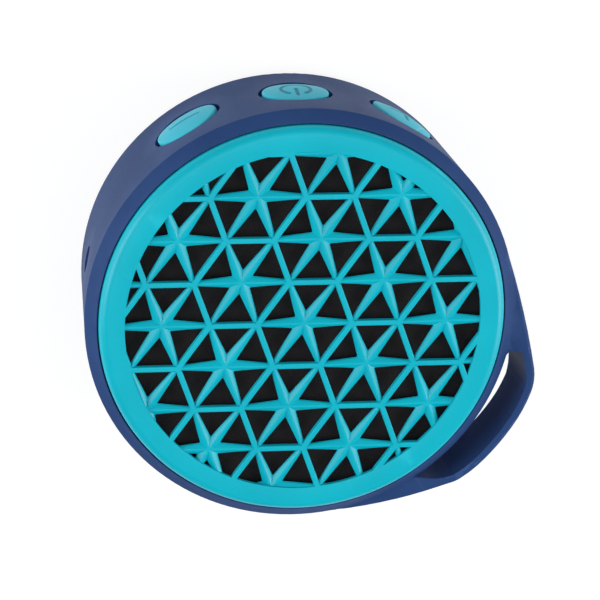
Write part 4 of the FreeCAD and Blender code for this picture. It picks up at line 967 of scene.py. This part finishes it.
def build_cloth():
    """Disc of two layers, each at height - sag (1 - (r/R)^2) + ripple sin(3 t) sin(pi r/R)."""
    around, rings = 180, 24
    angle = np.arange(around) * 2 * math.pi / around
    share = np.linspace(0, 1, rings + 1)
    top, low = cloth_high.z / MM - 0.02, cloth_low.z / MM + 0.10
    layers = []
    for height in (top, low):
        r, t = np.meshgrid(share, angle, indexing="ij")
        z = height - CLOTH_SAG * (1 - r * r) + CLOTH_RIPPLE * np.sin(3 * t) * np.sin(math.pi * r)
        layers.append(np.stack([CLOTH_RADIUS * r * np.cos(t), CLOTH_RADIUS * r * np.sin(t), z], axis=-1))
    rows = np.concatenate([layers[0], layers[1][::-1]])
    return make_piece("stretched_cloth", rows.reshape(-1, 3), [grid_faces(len(rows), around)[:, ::-1]])


cloth = build_cloth()
stand_in(cloth, acoustic_weave, "cabinet", "acoustic_cloth")

# %% [markdown]
# ## Foam ring and foam pads
#
# Die-cut foam is squeezed where it is held, so its cut sides bulge and its edges round over.  The
# ring under the cloth is turned from a crowned section, and each battery pad is a flat superellipsoid.

# %% Foam
def signed_power(value, exponent):
    return np.sign(value) * abs(value) ** exponent


def soft_ring(name, node):
    """Ring whose section is a superellipse: half width times C(t)^0.5, half height times S(t)^0.35."""
    low, high = (np.array(corner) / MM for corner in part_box(node))
    inner, outer = high[0] - 1.6, high[0]
    t = np.linspace(0, 2 * math.pi, 28, endpoint=False)
    across, up = signed_power(np.cos(t), 0.5), signed_power(np.sin(t), 0.35)
    section = np.stack([(inner + outer) / 2 + (outer - inner) / 2 * across,
                        (low[2] + high[2]) / 2 + (high[2] - low[2]) / 2 * up], axis=-1)
    return revolved(name, section, turns=128)


def soft_pad(name, low, high):
    """Superellipsoid: half sizes times (C(v) C(u), C(v) S(u), S(v)), with powers 0.35 of v and 0.3 of u."""
    half, middle = (high - low) / 2, (high + low) / 2
    u = np.arange(72) * 2 * math.pi / 72
    v = np.linspace(-math.pi / 2, math.pi / 2, 17)
    v, u = np.meshgrid(v, u, indexing="ij")
    ring = signed_power(np.cos(v).round(9), 0.35)
    points = np.stack([ring * signed_power(np.cos(u), 0.3), ring * signed_power(np.sin(u), 0.3),
                       signed_power(np.sin(v), 0.35)], axis=-1)
    return make_piece(name, middle + points.reshape(-1, 3) * half, [grid_faces(17, 72)])


pad_low, pad_high = (np.array(corner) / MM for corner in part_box("battery_foam"))
cell_low, cell_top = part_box("battery_cell")[0].z / MM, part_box("battery_cell")[1].z / MM
foams = [(soft_ring("foam_ring", "grille_foam_ring"), "grille_foam_ring"),
         (soft_pad("lower_cell_pad", pad_low, np.array([*pad_high[:2], cell_low])), "battery_foam"),
         (soft_pad("upper_cell_pad", np.array([*pad_low[:2], cell_top]), pad_high), "battery_foam")]
for piece, node in foams:
    stand_in(piece, black_foam, "cabinet", node)
print("foam pieces:", len(foams))

# %% [markdown]
# ## The driver's surround
#
# The half roll round the cone is soft.  A rigid one would be pierced by the cone's edge at full stroke;
# here it is a finished copy of the solid, with merged points and smooth shading.

# %% Surround
half_roll = finished("half_roll", merged_copy(nodes["cone_surround"]), 30.0)
roll_finish = nodes["cone_surround"].material_slots[0].material
stand_in(half_roll, roll_finish, "cabinet", "cone_surround")
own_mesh(half_roll)

# %% [markdown]
# ## Floor, background and light
#
# A pale floor and three soft lamps, two at the sides and one above, light the speaker as a small
# product table does.  The floor is white to the camera and in gloss, and still takes the shadow.

# %% Floor
def white_sight(tree, plain, shown):
    """The shader shown for rays from the camera, gloss or glass, and the plain one for all others."""
    path = add(tree, "ShaderNodeLightPath")
    seen = path.outputs["Is Camera Ray"]
    for kind in ("Is Glossy Ray", "Is Transmission Ray"):
        seen = calculate(tree, "MAXIMUM", seen, path.outputs[kind])
    return add(tree, "ShaderNodeMixShader", links={0: seen, 1: plain, 2: shown}).outputs[0]


floor_paper = bpy.data.materials.new("white_floor_paper")
floor_paper.use_nodes = True
floor_tree = floor_paper.node_tree
floor_tree.nodes.clear()
plain_floor = add(floor_tree, "ShaderNodeBsdfDiffuse", {"Color": (0.80, 0.80, 0.80, 1)}).outputs[0]
dim_floor = add(floor_tree, "ShaderNodeBsdfDiffuse", {"Color": (0.20, 0.20, 0.20, 1)}).outputs[0]
lit_floor = add(floor_tree, "ShaderNodeEmission", {"Color": (1, 1, 1, 1), "Strength": 0.87}).outputs[0]
seen_floor = add(floor_tree, "ShaderNodeAddShader", links={0: dim_floor, 1: lit_floor}).outputs[0]
add(floor_tree, "ShaderNodeOutputMaterial",
    links={"Surface": white_sight(floor_tree, plain_floor, seen_floor)})

FLOOR_HALF, FLOOR_DROP = 1500.0, -0.02
corners = [(x * FLOOR_HALF, y * FLOOR_HALF, FLOOR_DROP) for x, y in ((-1, -1), (1, -1), (1, 1), (-1, 1))]
floor = make_piece("floor", corners, [np.array([[0, 1, 2, 3]])])
floor.data.materials.append(floor_paper)
print("floor laid")

# %% [markdown]
# A faint bluish sky fills the shadows, and each lamp is a soft square that faces the speaker.

# %% World and lamps
world = bpy.data.worlds.new("studio")
bpy.context.scene.world = world
world.use_nodes = True
world_tree = world.node_tree
world_tree.nodes.clear()
soft_sky = add(world_tree, "ShaderNodeBackground",
               {"Color": (0.80, 0.83, 0.90, 1), "Strength": 0.30}).outputs[0]
add(world_tree, "ShaderNodeOutputWorld", links={"Surface": soft_sky})


def softbox(name, place_mm, size_mm, power):
    """Square area lamp at a place, turned to face the speaker's middle."""
    lamp = bpy.data.lights.new(name, "AREA")
    lamp.shape, lamp.size, lamp.size_y = "RECTANGLE", size_mm * MM, size_mm * MM
    lamp.energy = power
    made = bpy.data.objects.new(name, lamp)
    bpy.context.scene.collection.objects.link(made)
    made.location = Vector(place_mm) * MM
    made.rotation_euler = (made.location - Vector((0, 0, 0.02))).to_track_quat("Z", "Y").to_euler()


LAMPS = (("left_softbox", (-560, 40, 300), 420, 2.3), ("right_softbox", (560, -80, 330), 420, 2.7),
         ("overhead_softbox", (-40, 60, 900), 700, 1.65))
for lamp in LAMPS:
    softbox(*lamp)
print("lamps:", len(LAMPS))

# %% [markdown]
# The view is shown through the plain Standard transform.

# %% View settings
bpy.context.scene.view_settings.view_transform = "Standard"
